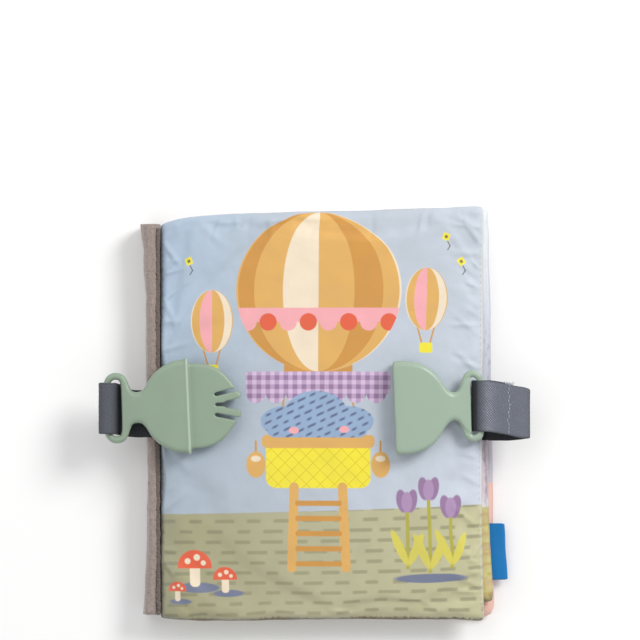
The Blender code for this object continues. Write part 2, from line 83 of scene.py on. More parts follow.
class Graph:
    """Short names for building a material's nodes."""

    def __init__(self, name, rough=0.8, **shader):
        self.mat = bpy.data.materials.new(name)
        self.mat.use_nodes = True
        self.tree = self.mat.node_tree
        self.shader = self.tree.nodes["Principled BSDF"]
        self.shader.inputs["Roughness"].default_value = rough
        for key, value in shader.items():
            self.shader.inputs[key.replace("_", " ")].default_value = value
        self.cache = {}

    def node(self, kind, **props):
        made = self.tree.nodes.new(kind)
        for key, value in props.items():
            setattr(made, key, value)
        return made

    def put(self, socket, value):
        if isinstance(value, bpy.types.NodeSocket):
            self.tree.links.new(value, socket)
        elif value is not None:
            socket.default_value = value

    def math(self, op, a, b=None, c=None, clamp=False):
        made = self.node("ShaderNodeMath", operation=op, use_clamp=clamp)
        self.put(made.inputs[0], a)
        if b is not None:
            self.put(made.inputs[1], b)
        if c is not None:
            self.put(made.inputs[2], c)
        return made.outputs[0]

    def vec(self, op, a, b=None, scale=None, out=None):
        made = self.node("ShaderNodeVectorMath", operation=op)
        self.put(made.inputs[0], a)
        if b is not None:
            self.put(made.inputs[1], b)
        if scale is not None:
            self.put(made.inputs["Scale"], scale)
        return made.outputs[out if out is not None else (1 if op in ("LENGTH", "DISTANCE", "DOT_PRODUCT") else 0)]

    def attr(self, name, out="Vector"):
        key = (name, out)
        if key not in self.cache:
            made = self.node("ShaderNodeAttribute", attribute_name=name)
            made.attribute_type = "GEOMETRY"
            self.cache[key] = made.outputs[out]
        return self.cache[key]

    def split(self, v):
        made = self.node("ShaderNodeSeparateXYZ")
        self.put(made.inputs[0], v)
        return made.outputs[0], made.outputs[1], made.outputs[2]

    def join(self, x, y, z=0.0):
        made = self.node("ShaderNodeCombineXYZ")
        for i, value in enumerate((x, y, z)):
            self.put(made.inputs[i], value)
        return made.outputs[0]

    def mix(self, fac, a, b, blend="MIX"):
        made = self.node("ShaderNodeMix", data_type="RGBA", blend_type=blend)
        self.put(made.inputs[0], fac)
        self.put(made.inputs[6], a)
        self.put(made.inputs[7], b)
        return made.outputs[2]

    def ramp(self, value, lo, hi, a=0.0, b=1.0):
        made = self.node("ShaderNodeMapRange", clamp=True)
        for i, v in enumerate((value, lo, hi, a, b)):
            self.put(made.inputs[i], v)
        return made.outputs[0]

    def noise(self, v, scale, detail=2.0, rough=0.5, out=0, dims="3D"):
        made = self.node("ShaderNodeTexNoise", noise_dimensions=dims)
        self.put(made.inputs["Vector"], v)
        made.inputs["Scale"].default_value = scale
        made.inputs["Detail"].default_value = detail
        made.inputs["Roughness"].default_value = rough
        return made.outputs[out]

    def wave(self, v, scale, direction="X", distortion=0.0, profile="SIN"):
        made = self.node("ShaderNodeTexWave", bands_direction=direction, wave_profile=profile)
        self.put(made.inputs["Vector"], v)
        made.inputs["Scale"].default_value = scale
        made.inputs["Distortion"].default_value = distortion
        return made.outputs["Fac"]

    def bump(self, height, strength, distance, normal=None):
        made = self.node("ShaderNodeBump")
        made.inputs["Strength"].default_value = strength
        made.inputs["Distance"].default_value = distance
        self.put(made.inputs["Height"], height)
        if normal is not None:
            self.put(made.inputs["Normal"], normal)
        return made.outputs[0]

    def colour(self, value):
        self.put(self.shader.inputs["Base Color"], value)

    def normal(self, value):
        self.put(self.shader.inputs["Normal"], value)

    # ---- flat shapes: each returns a mask, 1 inside and 0 outside
    def soft(self, distance, edge=0.45):
        return self.ramp(distance, -edge, edge, 1.0, 0.0)

    def circle_d(self, p, cx, cy, r):
        return self.math("SUBTRACT", self.vec("DISTANCE", p, (cx, cy, 0.0)), r)

    def circle(self, p, cx, cy, r):
        return self.soft(self.circle_d(p, cx, cy, r))

    def place(self, p, cx, cy, sx=1.0, sy=1.0, rot=0.0):
        """p moved so that (cx, cy) is the origin, turned and then stretched."""
        q = self.vec("SUBTRACT", p, (cx, cy, 0.0))
        if rot:
            made = self.node("ShaderNodeVectorRotate", rotation_type="Z_AXIS")
            self.put(made.inputs["Vector"], q)
            made.inputs["Angle"].default_value = -math.radians(rot)
            q = made.outputs[0]
        if sx != 1.0 or sy != 1.0:
            q = self.vec("MULTIPLY", q, (1.0 / sx, 1.0 / sy, 1.0))
        return q

    def ellipse_d(self, p, cx, cy, rx, ry, rot=0.0):
        q = self.place(p, cx, cy, rx, ry, rot)
        return self.math("MULTIPLY", self.math("SUBTRACT", self.vec("LENGTH", q), 1.0), min(rx, ry))

    def ellipse(self, p, cx, cy, rx, ry, rot=0.0):
        return self.soft(self.ellipse_d(p, cx, cy, rx, ry, rot))

    def box_d(self, p, cx, cy, hx, hy, rot=0.0, round_=0.0):
        q = self.vec("ABSOLUTE", self.place(p, cx, cy, rot=rot))
        q = self.vec("SUBTRACT", q, (hx - round_, hy - round_, 0.0))
        q = self.vec("MAXIMUM", q, (0.0, 0.0, 0.0))
        return self.math("SUBTRACT", self.vec("LENGTH", q), max(round_, 0.01))

    def box(self, p, cx, cy, hx, hy, rot=0.0, round_=0.5):
        return self.soft(self.box_d(p, cx, cy, hx, hy, rot, round_))

    def capsule(self, p, x0, y0, x1, y1, r):
        length = math.hypot(x1 - x0, y1 - y0)
        rot = math.degrees(math.atan2(y1 - y0, x1 - x0))
        return self.box(p, (x0 + x1) / 2, (y0 + y1) / 2, length / 2 + r, r, rot, r * 0.98)

    def below(self, value, limit, edge=0.45):
        """1 where value is under limit."""
        return self.ramp(self.math("SUBTRACT", value, limit), -edge, edge, 1.0, 0.0)

    def both(self, *masks):
        out = masks[0]
        for m in masks[1:]:
            out = self.math("MULTIPLY", out, m)
        return out

    def either(self, *masks):
        out = masks[0]
        for m in masks[1:]:
            out = self.math("MAXIMUM", out, m)
        return out


# ------------------------------------------------------------------- mesh tools
def new_object(name, verts, faces, mat=None, smooth=True):
    mesh = bpy.data.meshes.new(name)
    mesh.from_pydata([tuple(v) for v in verts], [], faces)
    mesh.validate()
    if smooth:
        mesh.shade_smooth()
    obj = bpy.data.objects.new(name, mesh)
    bpy.context.collection.objects.link(obj)
    if mat is not None:
        mesh.materials.append(mat)
    return obj


def outward(obj):
    work = bmesh.new()
    work.from_mesh(obj.data)
    bmesh.ops.recalc_face_normals(work, faces=work.faces)
    work.to_mesh(obj.data)
    work.free()


def points(obj):
    n = len(obj.data.vertices)
    co = np.empty(n * 3)
    obj.data.vertices.foreach_get("co", co)
    return co.reshape(n, 3)


def set_points(obj, co):
    obj.data.vertices.foreach_set("co", np.asarray(co).ravel())
    obj.data.update()


def set_attr(obj, name, values):
    made = obj.data.attributes.get(name) or obj.data.attributes.new(name, "FLOAT_VECTOR", "POINT")
    made.data.foreach_set("vector", np.asarray(values, dtype=np.float32).ravel())


def bake_modifiers(obj):
    """Replaces the object's mesh by its evaluated one."""
    graph = bpy.context.evaluated_depsgraph_get()
    made = bpy.data.meshes.new_from_object(obj.evaluated_get(graph), preserve_all_data_layers=True, depsgraph=graph)
    old = obj.data
    obj.modifiers.clear()
    obj.data = made
    made.name = old.name
    bpy.data.meshes.remove(old)


def curve_at(table, x):
    """Smooth monotone reading of a table of (x, value) points, for arrays."""
    x = np.asarray(x, dtype=float)
    xs = np.array([p[0] for p in table])
    ys = np.array([p[1] for p in table])
    d = np.diff(ys) / np.diff(xs)
    m = np.empty(len(xs))
    m[0], m[-1] = d[0], d[-1]
    for i in range(1, len(xs) - 1):
        m[i] = 0.0 if d[i - 1] * d[i] <= 0 else 2 * d[i - 1] * d[i] / (d[i - 1] + d[i])
    i = np.clip(np.searchsorted(xs, x) - 1, 0, len(xs) - 2)
    h = xs[i + 1] - xs[i]
    t = np.clip((x - xs[i]) / h, 0, 1)
    return (ys[i] * (1 + 2 * t) * (1 - t) ** 2 + m[i] * h * t * (1 - t) ** 2
            + ys[i + 1] * t * t * (3 - 2 * t) + m[i + 1] * h * t * t * (t - 1))


def fbm(x, y, z=0.0, octaves=3, gain=0.5):
    """Smooth noise in -1..1 at points given in any unit."""
    out = np.zeros(len(x))
    amp = 1.0
    f = 1.0
    for _ in range(octaves):
        out += amp * np.array([noise.noise(Vector((a * f, b * f, z + 7.3 * f))) for a, b in zip(x, y)])
        amp *= gain
        f *= 2.0
    return out


def smoothstep(lo, hi, x):
    t = np.clip((x - lo) / (hi - lo), 0, 1)
    return t * t * (3 - 2 * t)


# ------------------------------------------------------------------ camera first
cam_data = bpy.data.cameras.new("camera")
cam = bpy.data.objects.new("camera", cam_data)
bpy.context.collection.objects.link(cam)
cam.location = (fx(320), fy(320), 1.62)
cam_data.sensor_fit = "HORIZONTAL"
cam_data.sensor_width = 36.0
cam_data.lens = 36.0 * 1.60 / 0.320        # 0.32 m across at the cover's face
cam_data.clip_start = 0.01
bpy.context.scene.camera = cam


# ------------------------------------------------------------------- panels
# top and bottom edges against x, and fore edge against height, book mm
COVER = dict(top=[(0.0, 92.9), (6.5, 95.0), (15.0, 96.6), (22.5, 97.3), (37.5, 98.3), (57.0, 98.8), (70.0, 99.4), (85.0, 99.5), (125.0, 100.7), (150.0, 101.7), (161.4, 102.2)],
             bot=[(0.0, -104.4), (15.0, -105.6), (36.0, -105.8), (61.5, -105.3), (85.0, -104.9), (119.5, -105.0), (145.0, -105.0), (162.2, -106.0)],
             right=[(-106.0, 162.2), (-75.0, 161.6), (-45.0, 161.2), (-10.0, 161.2), (40.0, 161.8), (102.2, 161.9)])
LEAF = dict(top=[(0.0, 91.0), (45.0, 94.5), (100.0, 96.6), (140.0, 98.8), (164.6, 101.0)],
            bot=[(0.0, -97.5), (80.0, -97.8), (167.4, -97.0)],
            right=[(-97.0, 167.5), (-49.0, 164.9), (-10.0, 164.5), (10.0, 165.5), (25.0, 166.0), (46.0, 165.8), (75.0, 165.2), (101.0, 164.6)])
BACK = dict(top=[(0.0, 91.8), (45.0, 95.5), (100.0, 98.0), (163.8, 99.0)],
            bot=[(0.0, -100.8), (80.0, -101.8), (167.6, -105.2)],
            right=[(-105.2, 168.0), (-60.0, 167.4), (-8.0, 166.9), (20.0, 166.0), (99.0, 164.2)])


def pillow(name, shape, corner, z_lo, z_seam, z_hi, step, edge_r):
    """A closed padded panel on a regular grid: a top sheet and a bottom sheet
    that share one seam ring. Carries "flat" (print layout) and "lay" (distance
    to the edge in mm, side)."""
    top, bot, right = shape["top"], shape["bot"], shape["right"]
    nu = int(round(right[0][1] / step))
    nv = int(round((top[-1][1] - bot[-1][1]) / step))
    # closer rows near the edges
    ease = lambda t: t - 0.35 * np.sin(2 * np.pi * t) / (2 * np.pi)
    uu, vv = np.meshgrid(ease(np.linspace(0, 1, nu + 1)), ease(np.linspace(0, 1, nv + 1)), indexing="ij")
    y = bot[-1][1] + (top[-1][1] - bot[-1][1]) * vv
    for _ in range(4):
        x = uu * curve_at(right, y)
        yt, yb = curve_at(top, x), curve_at(bot, x)
        y = yb + (yt - yb) * vv
    dist_r, dist_l, dist_t, dist_b = curve_at(right, y) - x, x.copy(), yt - y, y - yb
    for dx, dy, sx, sy, r in ((dist_r, dist_t, -1, -1, corner[0]), (dist_r, dist_b, -1, 1, corner[1]),
                              (dist_l, dist_t, 1, -1, 1.8), (dist_l, dist_b, 1, 1, 1.8)):
        near = (dx < r) & (dy < r)
        a, b = (r - dx[near]) / r, (r - dy[near]) / r
        ax, by = a * np.sqrt(1 - b * b / 2), b * np.sqrt(1 - a * a / 2)
        x[near] -= sx * (ax - a) * r
        y[near] -= sy * (by - b) * r
    edge = np.minimum(np.minimum(dist_r, dist_l), np.minimum(dist_t, dist_b))
    rise = np.minimum(np.minimum(dist_r, dist_l * 2.4), np.minimum(dist_t, dist_b))
    q = np.clip(rise / edge_r, 0, 1)
    prof = (1 - (1 - q) ** 2.2) ** (1 / 2.2)
    ring = np.zeros_like(uu, dtype=bool)
    ring[0, :] = ring[-1, :] = ring[:, 0] = ring[:, -1] = True
    verts, lay = [], []
    up = -np.ones(uu.shape, dtype=int)
    down = up.copy()
    for side, ids, z_face in ((1.0, up, z_hi), (-1.0, down, z_lo)):
        for i in range(nu + 1):
            for j in range(nv + 1):
                if side < 0 and ring[i, j]:
                    ids[i, j] = up[i, j]
                    continue
                ids[i, j] = len(verts)
                verts.append((x[i, j], y[i, j], z_seam + (z_face - z_seam) * prof[i, j]))
                lay.append((edge[i, j], side, 0.0))
    faces = []
    for i in range(nu):
        for j in range(nv):
            faces.append((up[i, j], up[i + 1, j], up[i + 1, j + 1], up[i, j + 1]))
            faces.append((down[i, j], down[i, j + 1], down[i + 1, j + 1], down[i + 1, j]))
    obj = new_object(name, [mm(*p) for p in verts], [tuple(int(k) for k in f) for f in faces])
    verts = np.array(verts)
    set_attr(obj, "flat", np.stack([verts[:, 0] * 2 + 160, 410 - verts[:, 1] * 2, np.zeros(len(verts))], 1))
    set_attr(obj, "lay", lay)
    pins = obj.vertex_groups.new(name="seam")
    pins.add([int(k) for k in up[ring]], 1.0, "REPLACE")
    # the seam itself stays crisp when the panel is subdivided
    on_ring = np.zeros(len(verts), dtype=bool)
    on_ring[up[ring]] = True
    ends = np.empty(len(obj.data.edges) * 2, dtype=np.int64)
    obj.data.edges.foreach_get("vertices", ends)
    crease = on_ring[ends.reshape(-1, 2)].all(1).astype(np.float32)
    made = obj.data.attributes.new("crease_edge", "FLOAT", "EDGE")
    made.data.foreach_set("value", crease)
    return obj


def get_attr(obj, name):
    data = obj.data.attributes[name].data
    out = np.empty(len(data) * 3, dtype=np.float32)
    data.foreach_get("vector", out)
    return out.reshape(-1, 3).astype(float)


def puff(obj, pressure, slack, frames, up, down):
    """Blows the panel up as sewn cloth and keeps the result, its height held
    softly to up and down metres on the top and the bottom sheet."""
    before = points(obj)
    mod = obj.modifiers.new("cloth", "CLOTH")
    s = mod.settings
    s.quality = 5
    s.mass = 0.2
    s.tension_stiffness = s.compression_stiffness = 15.0
    s.shear_stiffness = 6.0
    s.bending_stiffness = 0.35
    s.tension_damping = s.compression_damping = s.shear_damping = 8.0
    s.air_damping = 4.0
    s.use_pressure = True
    s.uniform_pressure_force = pressure
    s.shrink_min = -slack
    s.vertex_group_mass = "seam"
    s.effector_weights.gravity = 0.0
    mod.collision_settings.use_collision = False
    mod.collision_settings.use_self_collision = False
    mod.point_cache.frame_start = 1
    mod.point_cache.frame_end = frames
    scene = bpy.context.scene
    for f in range(1, frames + 1):
        scene.frame_set(f)
    graph = bpy.context.evaluated_depsgraph_get()
    shown = obj.evaluated_get(graph)
    mesh = shown.to_mesh()
    after = np.empty(len(before) * 3)
    mesh.vertices.foreach_get("co", after)
    shown.to_mesh_clear()
    after = after.reshape(-1, 3)
    obj.modifiers.clear()
    scene.frame_set(1)
    move = after - before
    side = get_attr(obj, "lay")[:, 1]
    cap = np.where(side > 0, up, down)
    move[:, 2] = cap * np.tanh(move[:, 2] / cap)
    flat = np.hypot(move[:, 0], move[:, 1])
    k = 0.0012 * np.tanh(flat / 0.0012) / np.maximum(flat, 1e-9)
    move[:, 0] *= k
    move[:, 1] *= k
    set_points(obj, before + move)


def subdivide(obj, levels=1):
    mod = obj.modifiers.new("sub", "SUBSURF")
    mod.levels = mod.render_levels = levels
    bake_modifiers(obj)
    obj.data.shade_smooth()


def bake_map(obj):
    """One flat map: the top sheet on the left half, the bottom sheet on the right."""
    flat, lay = get_attr(obj, "flat"), get_attr(obj, "lay")
    mesh = obj.data
    n = len(mesh.loops)
    loop_v = np.empty(n, dtype=np.int64)
    mesh.loops.foreach_get("vertex_index", loop_v)
    starts = np.empty(len(mesh.polygons), dtype=np.int64)
    totals = np.empty(len(mesh.polygons), dtype=np.int64)
    mesh.polygons.foreach_get("loop_start", starts)
    mesh.polygons.foreach_get("loop_total", totals)
    face_of = np.repeat(np.arange(len(starts)), totals)
    co = points(obj)
    norm = np.empty(len(starts) * 3)
    mesh.polygons.foreach_get("normal", norm)
    low = norm.reshape(-1, 3)[:, 2] < 0
    mean = np.zeros(len(starts))
    np.add.at(mean, face_of, lay[loop_v, 1])
    low = mean / totals < 0
    u = (flat[loop_v, 0] - 140) / 380 * 0.48 + 0.01 + 0.5 * low[face_of]
    v = 0.99 - (flat[loop_v, 1] - 190) / 440 * 0.98
    layer = mesh.uv_layers.new(name="OFBake")
    layer.data.foreach_set("uv", np.stack([u, v], 1).astype(np.float32).ravel())


def bump_along(x, y, x0, y0, x1, y1, width):
    """1 on a line between two points, falling to 0 at its sides and ends."""
    d = np.array([x1 - x0, y1 - y0])
    length = np.hypot(*d)
    d = d / length
    t = (x - x0) * d[0] + (y - y0) * d[1]
    s = -(x - x0) * d[1] + (y - y0) * d[0]
    along = np.clip(t / length, 0, 1)
    ends = np.exp(-(((t - along * length) / width) ** 2))
    return np.exp(-((s / width) ** 2)) * ends * np.sin(np.pi * (0.15 + 0.7 * along))


cover = pillow("cover_panel", COVER, (2.4, 2.6), 13.5, 16.2, 19.9, 3.2, 6.0)
leaf = pillow("leaf_panel", LEAF, (2.6, 3.5), 7.0, 9.6, 12.8, 4.0, 5.0)
back = pillow("back_panel", BACK, (7.0, 6.5), 0.1, 3.6, 6.3, 4.0, 5.0)
puff(cover, 3.0, 0.022, 22, 0.0010, 0.0003)
puff(leaf, 2.0, 0.02, 16, 0.0004, 0.0004)
puff(back, 2.0, 0.02, 16, 0.0004, 0.0003)
subdivide(cover, 2)
subdivide(leaf, 1)
subdivide(back, 1)


def dress_cover(obj):
    co = points(obj)
    flat, lay = get_attr(obj, "flat"), get_attr(obj, "lay")
    x, y = (flat[:, 0] - 160) / 2, (410 - flat[:, 1]) / 2
    face = np.clip(lay[:, 1], 0, 1) * smoothstep(0.2, 1.6, lay[:, 0])
    right = curve_at(COVER["right"], y)
    top = curve_at(COVER["top"], x)
    to_r, to_t = right - x, top - y
    n1 = fbm(x / 42, y / 42, 1.0)
    n2 = fbm(x / 12, y / 12, 5.0)
    n3 = fbm(y / 6.0, x / 30.0, 9.0, 2)
    n4 = fbm(x / 7.0, y / 26.0, 12.0, 2)
    dz = 0.60 * n1 + 0.32 * n2
    # the fore edge's row of stitches, its dimples and the small pulls beside it
    groove = np.exp(-((to_r - 1.3) / 0.55) ** 2)
    stitches = 0.75 + 0.25 * np.sin(2 * np.pi * y / 3.1)
    dz -= 0.55 * groove * stitches
    dz += 0.45 * n3 * np.exp(-np.maximum(to_r - 1.4, 0) / 5.5) * smoothstep(1.0, 2.4, to_r)
    # the flat band under the top edge, where the wadding starts
    dz -= 0.42 * np.exp(-((to_t - 5.6 - 2.5 * fbm(x / 25, 0.0 * y, 17.0, 2)) / 1.9) ** 2) * np.clip(0.55 + 1.1 * n4 + 0.35 * (1 - x / 80), 0, 1.2)
    dz += 0.42 * n4 * np.exp(-to_t / 6.0)
    # the spine side is gathered
    dz += 0.55 * n3 * np.exp(-x / 5.0)
    # pulls that run in from the seams
    pulls = np.random.default_rng(77)
    for k in range(46):
        h = 0.38 + 0.62 * pulls.random()
        w = 0.8 + 1.1 * pulls.random()
        run = 5.0 + 11.0 * pulls.random()
        lean = (pulls.random() - 0.35) * 1.1
        at = pulls.random()
        if k % 4 == 0:                                   # top edge, running down
            xa = 8 + 148 * at
            ya = float(curve_at(COVER["top"], xa)) - 2.0
            xb, yb = xa - 0.5 * run * lean, ya - run
        elif k % 4 == 1:                                 # spine side, running right
            ya = -98 + 188 * at
            xa, xb, yb = 1.0, 1.0 + run, ya + run * (0.5 - lean)
        else:                                            # fore edge, running left
            ya = -98 + 192 * at
            xa = float(curve_at(COVER["right"], ya)) - 1.8
            xb, yb = xa - run, ya + run * (0.25 + 0.8 * lean)
        dz += h * (1 if pulls.random() < 0.7 else -0.8) * bump_along(x, y, xa, ya, xb, yb, w)
    # single folds
    for a, b, h, w in (((462, 218), (480, 243), 0.95, 1.5), ((468, 283), (480, 288), 0.8, 1.1),
                       ((474, 262), (481, 269), 0.6, 0.9), ((448, 232), (474, 262), 0.5, 2.0),
                       ((164, 244), (178, 264), 0.8, 1.4), ((166, 272), (174, 260), 0.5, 1.0), ((163, 300), (176, 322), 0.6, 1.6),
                       ((462, 356), (478, 368), 0.7, 1.5), ((452, 452), (480, 446), 0.6, 1.8), ((466, 476), (481, 484), 0.5, 1.3),
                       ((470, 560), (480, 548), 0.5, 1.2), ((330, 609), (350, 613), 0.5, 1.3),
                       ((163, 560), (174, 574), 0.6, 1.2), ((200, 224), (226, 246), 0.6, 2.0), ((172, 440), (190, 470), 0.6, 2.0)):
        xa, ya, xb, yb = (a[0] - 160) / 2, (410 - a[1]) / 2, (b[0] - 160) / 2, (410 - b[1]) / 2
        dz += 1.6 * h * bump_along(x, y, xa, ya, xb, yb, w)
    co[:, 2] += dz * face * 0.001
    # a slightly wavy edge
    rim = np.exp(-lay[:, 0] / 5.0)
    co[:, 1] += 0.00022 * rim * fbm(x / 9, y / 9, 30.0, 2)
    co[:, 0] += 0.00018 * rim * fbm(x / 9, y / 9, 40.0, 2) * smoothstep(5, 20, x)
    # clear of the clips and straps lying on it
    co[:, 2] = np.where(co[:, 2] > 0.0203, 0.0203 + 0.0009 * np.tanh((co[:, 2] - 0.0203) / 0.0009), co[:, 2])
    set_points(obj, co)


def dress_plain(obj, shape, seed, lo, hi):
    co = points(obj)
    flat, lay = get_attr(obj, "flat"), get_attr(obj, "lay")
    x, y = (flat[:, 0] - 160) / 2, (410 - flat[:, 1]) / 2
    face = lay[:, 1] * smoothstep(0.2, 2.0, lay[:, 0])
    to_r = curve_at(shape["right"], y) - x
    co[:, 2] += 0.001 * face * (0.12 * fbm(x / 25, y / 25, seed) - 0.25 * np.exp(-((to_r - 2.2) / 0.7) ** 2)
                                + 0.2 * fbm(y / 6, x / 30, seed + 3, 2) * np.exp(-to_r / 5))
    rim = np.exp(-lay[:, 0] / 4.0)
    co[:, 0] += 0.0003 * rim * fbm(y / 11, x / 11, seed + 6, 2) * smoothstep(5, 20, x)
    co[:, 2] = np.clip(co[:, 2], lo * 0.001, hi * 0.001)
    set_points(obj, co)


dress_cover(cover)
dress_plain(leaf, LEAF, 60.0, 6.75, 13.0)
dress_plain(back, BACK, 80.0, 0.02, 6.65)
for obj in (cover, leaf, back):
    bake_map(obj)


# ---------------------------------------------------------------- cloth prints
def cloth_surface(g, p, base, weave=1.0, sheen=0.25):
    """Fine plain weave, a little soiling and a soft sheen over a print."""
    grain = g.noise(p, 0.9, 3.0, 0.6)
    patch = g.noise(p, 0.035, 2.0, 0.5)
    base = g.mix(g.ramp(grain, 0.3, 0.7, 0.0, 0.09 * weave), base, srgb(90, 88, 92))
    base = g.mix(g.ramp(patch, 0.35, 0.75, 0.0, 0.10), base, srgb(120, 112, 104))
    g.colour(base)
    wx, wy = g.wave(p, 0.62, "X"), g.wave(p, 0.62, "Y")
    threads = g.math("MAXIMUM", wx, wy)
    threads = g.math("ADD", g.math("MULTIPLY", threads, 0.35), g.math("MULTIPLY", g.noise(p, 0.35, 4.0, 0.65), 1.2))
    g.normal(g.bump(threads, 0.30 * weave, 0.00022))
    g.shader.inputs["Sheen Weight"].default_value = sheen
    g.shader.inputs["Sheen Roughness"].default_value = 0.45
    return g.mat


def dashes(g, p, x_period, rows, slope, seed):
    """Rows of short broken strokes: a mask."""
    x, y, _ = g.split(p)
    v = g.math("DIVIDE", g.math("ADD", y, g.math("MULTIPLY", x, slope)), rows)
    row = g.math("FLOOR", v)
    fy_ = g.math("FRACT", v)
    shift = g.math("FRACT", g.math("MULTIPLY", g.math("SINE", g.math("MULTIPLY", row, 12.9898 + seed)), 43758.5))
    u = g.math("ADD", g.math("DIVIDE", x, x_period), g.math("MULTIPLY", shift, 5.0))
    cell = g.math("FLOOR", u)
    fu = g.math("FRACT", u)
    wide = g.math("FRACT", g.math("MULTIPLY", g.math("SINE", g.math("ADD", g.math("MULTIPLY", cell, 78.233), g.math("MULTIPLY", row, 3.71))), 1543.7))
    half = g.math("ADD", 0.20, g.math("MULTIPLY", wide, 0.19))
    du = g.math("MULTIPLY", g.math("SUBTRACT", g.math("ABSOLUTE", g.math("SUBTRACT", fu, 0.5)), half), x_period)
    dv = g.math("MULTIPLY", g.math("SUBTRACT", g.math("ABSOLUTE", g.math("SUBTRACT", fy_, 0.5)), 0.17), rows)
    return g.both(g.soft(du, 1.2), g.soft(dv, 0.6))


def print_cover():
    g = Graph("cover_print", rough=0.6)
    p = g.attr("flat")
    x, y, _ = g.split(p)
    # the print's pale blue sky and olive ground, with painted shade: both darken towards the spine, and the sky greys
    # towards its top right and its lower left
    left = g.ramp(x, 160.0, 300.0)
    sky = g.mix(left, g.mix(g.ramp(y, 300.0, 480.0), srgb(170, 191, 212), srgb(169, 183, 197)), srgb(182, 192, 203))
    sky = g.mix(g.ramp(x, 300.0, 480.0), sky, g.mix(g.ramp(y, 240.0, 440.0), srgb(191, 200, 211), srgb(203, 211, 224)))
    ground = g.mix(left, srgb(160, 157, 120), srgb(179, 176, 144))
    ground = g.mix(g.ramp(x, 300.0, 480.0), ground, srgb(192, 189, 150))
    ground = g.mix(dashes(g, p, 29.0, 10.4, 0.02, 0.0), ground, g.mix(left, srgb(138, 136, 104), srgb(158, 155, 122)))
    level = g.math("ADD", y, g.math("MULTIPLY", x, 0.031))
    col = g.mix(g.below(level, 519.6, 0.6), ground, sky)

    def over(mask, colour):
        nonlocal col
        col = g.mix(mask, col, colour)

    ochre, dark, cream = srgb(222, 172, 92), srgb(205, 146, 62), srgb(238, 222, 196)
    pink, red, purple, lilac = srgb(242, 170, 176), srgb(226, 92, 56), srgb(150, 118, 158), srgb(216, 190, 222)
    yellow, blue, navy = srgb(243, 228, 48), srgb(146, 172, 204), srgb(92, 104, 140)
    green, shade = srgb(214, 204, 84), srgb(112, 120, 146)

    def balloon(cx, cy, rx, ry, gores, colours):
        q = g.place(p, cx, cy, rx, ry)
        qx, qy, _ = g.split(q)
        span = g.math("SQRT", g.math("MAXIMUM", g.math("SUBTRACT", 1.0, g.math("MULTIPLY", qy, qy)), 0.001))
        m = g.math("DIVIDE", qx, span)
        m = g.math("MAXIMUM", g.math("MINIMUM", m, 1.0), -1.0)
        lon = g.math("DIVIDE", g.math("ARCSINE", m), math.pi)             # -0.5..0.5
        k = g.math("ADD", g.math("MULTIPLY", lon, gores), 100.5)
        body = g.soft(g.math("MULTIPLY", g.math("SUBTRACT", g.vec("LENGTH", q), 1.0), min(rx, ry)))
        half = g.math("ABSOLUTE", g.math("SUBTRACT", g.math("FRACT", g.math("DIVIDE", k, 2.0)), 0.5))
        alt = g.ramp(half, 0.243, 0.257)
        third = g.math("ABSOLUTE", g.math("SUBTRACT", g.math("FRACT", g.math("DIVIDE", k, 4.0)), 0.5))
        fill = g.mix(alt, colours[0], colours[1])
        fill = g.mix(g.ramp(third, 0.372, 0.378), fill, colours[2])
        over(body, fill)
        return body

    # two small balloons far off
    for cx, cy in ((214, 322), (427, 300)):
        over(g.capsule(p, cx - 9, cy + 26, cx - 4, cy + 44, 0.8), dark)
        over(g.capsule(p, cx + 9, cy + 26, cx + 4, cy + 44, 0.8), dark)
        balloon(cx, cy, 21.0, 31.0, 5.0, (ochre, cream, pink))
        over(g.box(p, cx, cy + 48, 6.5, 5.0, 0, 2.0), yellow)
    # envelope
    over(g.both(g.soft(g.box_d(p, 320, 366, 34, 24, 0, 8.0)), 1.0), dark)
    body = balloon(320.0, 292.0, 82.0, 80.0, 7.0, (ochre, dark, cream))
    # scalloped band on the envelope
    band = g.both(body, g.below(g.math("ABSOLUTE", g.math("SUBTRACT", y, 316.0)), 7.0))
    over(band, pink)
    for i, cx in enumerate(range(250, 400, 20)):
        over(g.both(body, g.circle(p, cx, 323, 8.6)), red if i % 2 else pink)
    # checked skirt and ropes
    for xa, xb in ((288, 280), (306, 303), (334, 337), (352, 360)):
        over(g.capsule(p, xa, 384, xb, 442, 0.9), dark)
    gx = g.math("ABSOLUTE", g.math("SUBTRACT", g.math("FRACT", g.math("DIVIDE", x, 9.0)), 0.5))
    gy = g.math("ABSOLUTE", g.math("SUBTRACT", g.math("FRACT", g.math("DIVIDE", y, 9.0)), 0.5))
    check = g.math("ADD", g.ramp(gx, 0.22, 0.26, 0.0, 0.5), g.ramp(gy, 0.22, 0.26, 0.0, 0.5))
    skirt = g.either(g.box(p, 320, 383, 72, 11, 0, 3.0),
                     *[g.circle(p, cx, 393, 10.0) for cx in range(258, 390, 20)])
    over(skirt, g.mix(check, lilac, purple))
    # basket, sacks
    weave = g.math("ABSOLUTE", g.math("SUBTRACT", g.math("FRACT", g.math("DIVIDE", g.math("ADD", x, y), 14.0)), 0.5))
    weave2 = g.math("ABSOLUTE", g.math("SUBTRACT", g.math("FRACT", g.math("DIVIDE", g.math("SUBTRACT", x, y), 14.0)), 0.5))
    basket = g.mix(g.either(g.below(weave, 0.04, 0.02), g.below(weave2, 0.04, 0.02)), yellow, srgb(224, 200, 30))
    over(g.box(p, 320, 462, 52, 25, 0, 10.0), basket)
    over(g.box(p, 320, 441, 56, 6.5, 0, 5.0), ochre)
    for cx in (258, 382):
        over(g.capsule(p, cx, 441, cx, 452, 1.0), dark)
        over(g.ellipse(p, cx, 464, 9.5, 13.0), ochre)
        over(g.ellipse(p, cx, 458, 5.0, 3.0), cream)
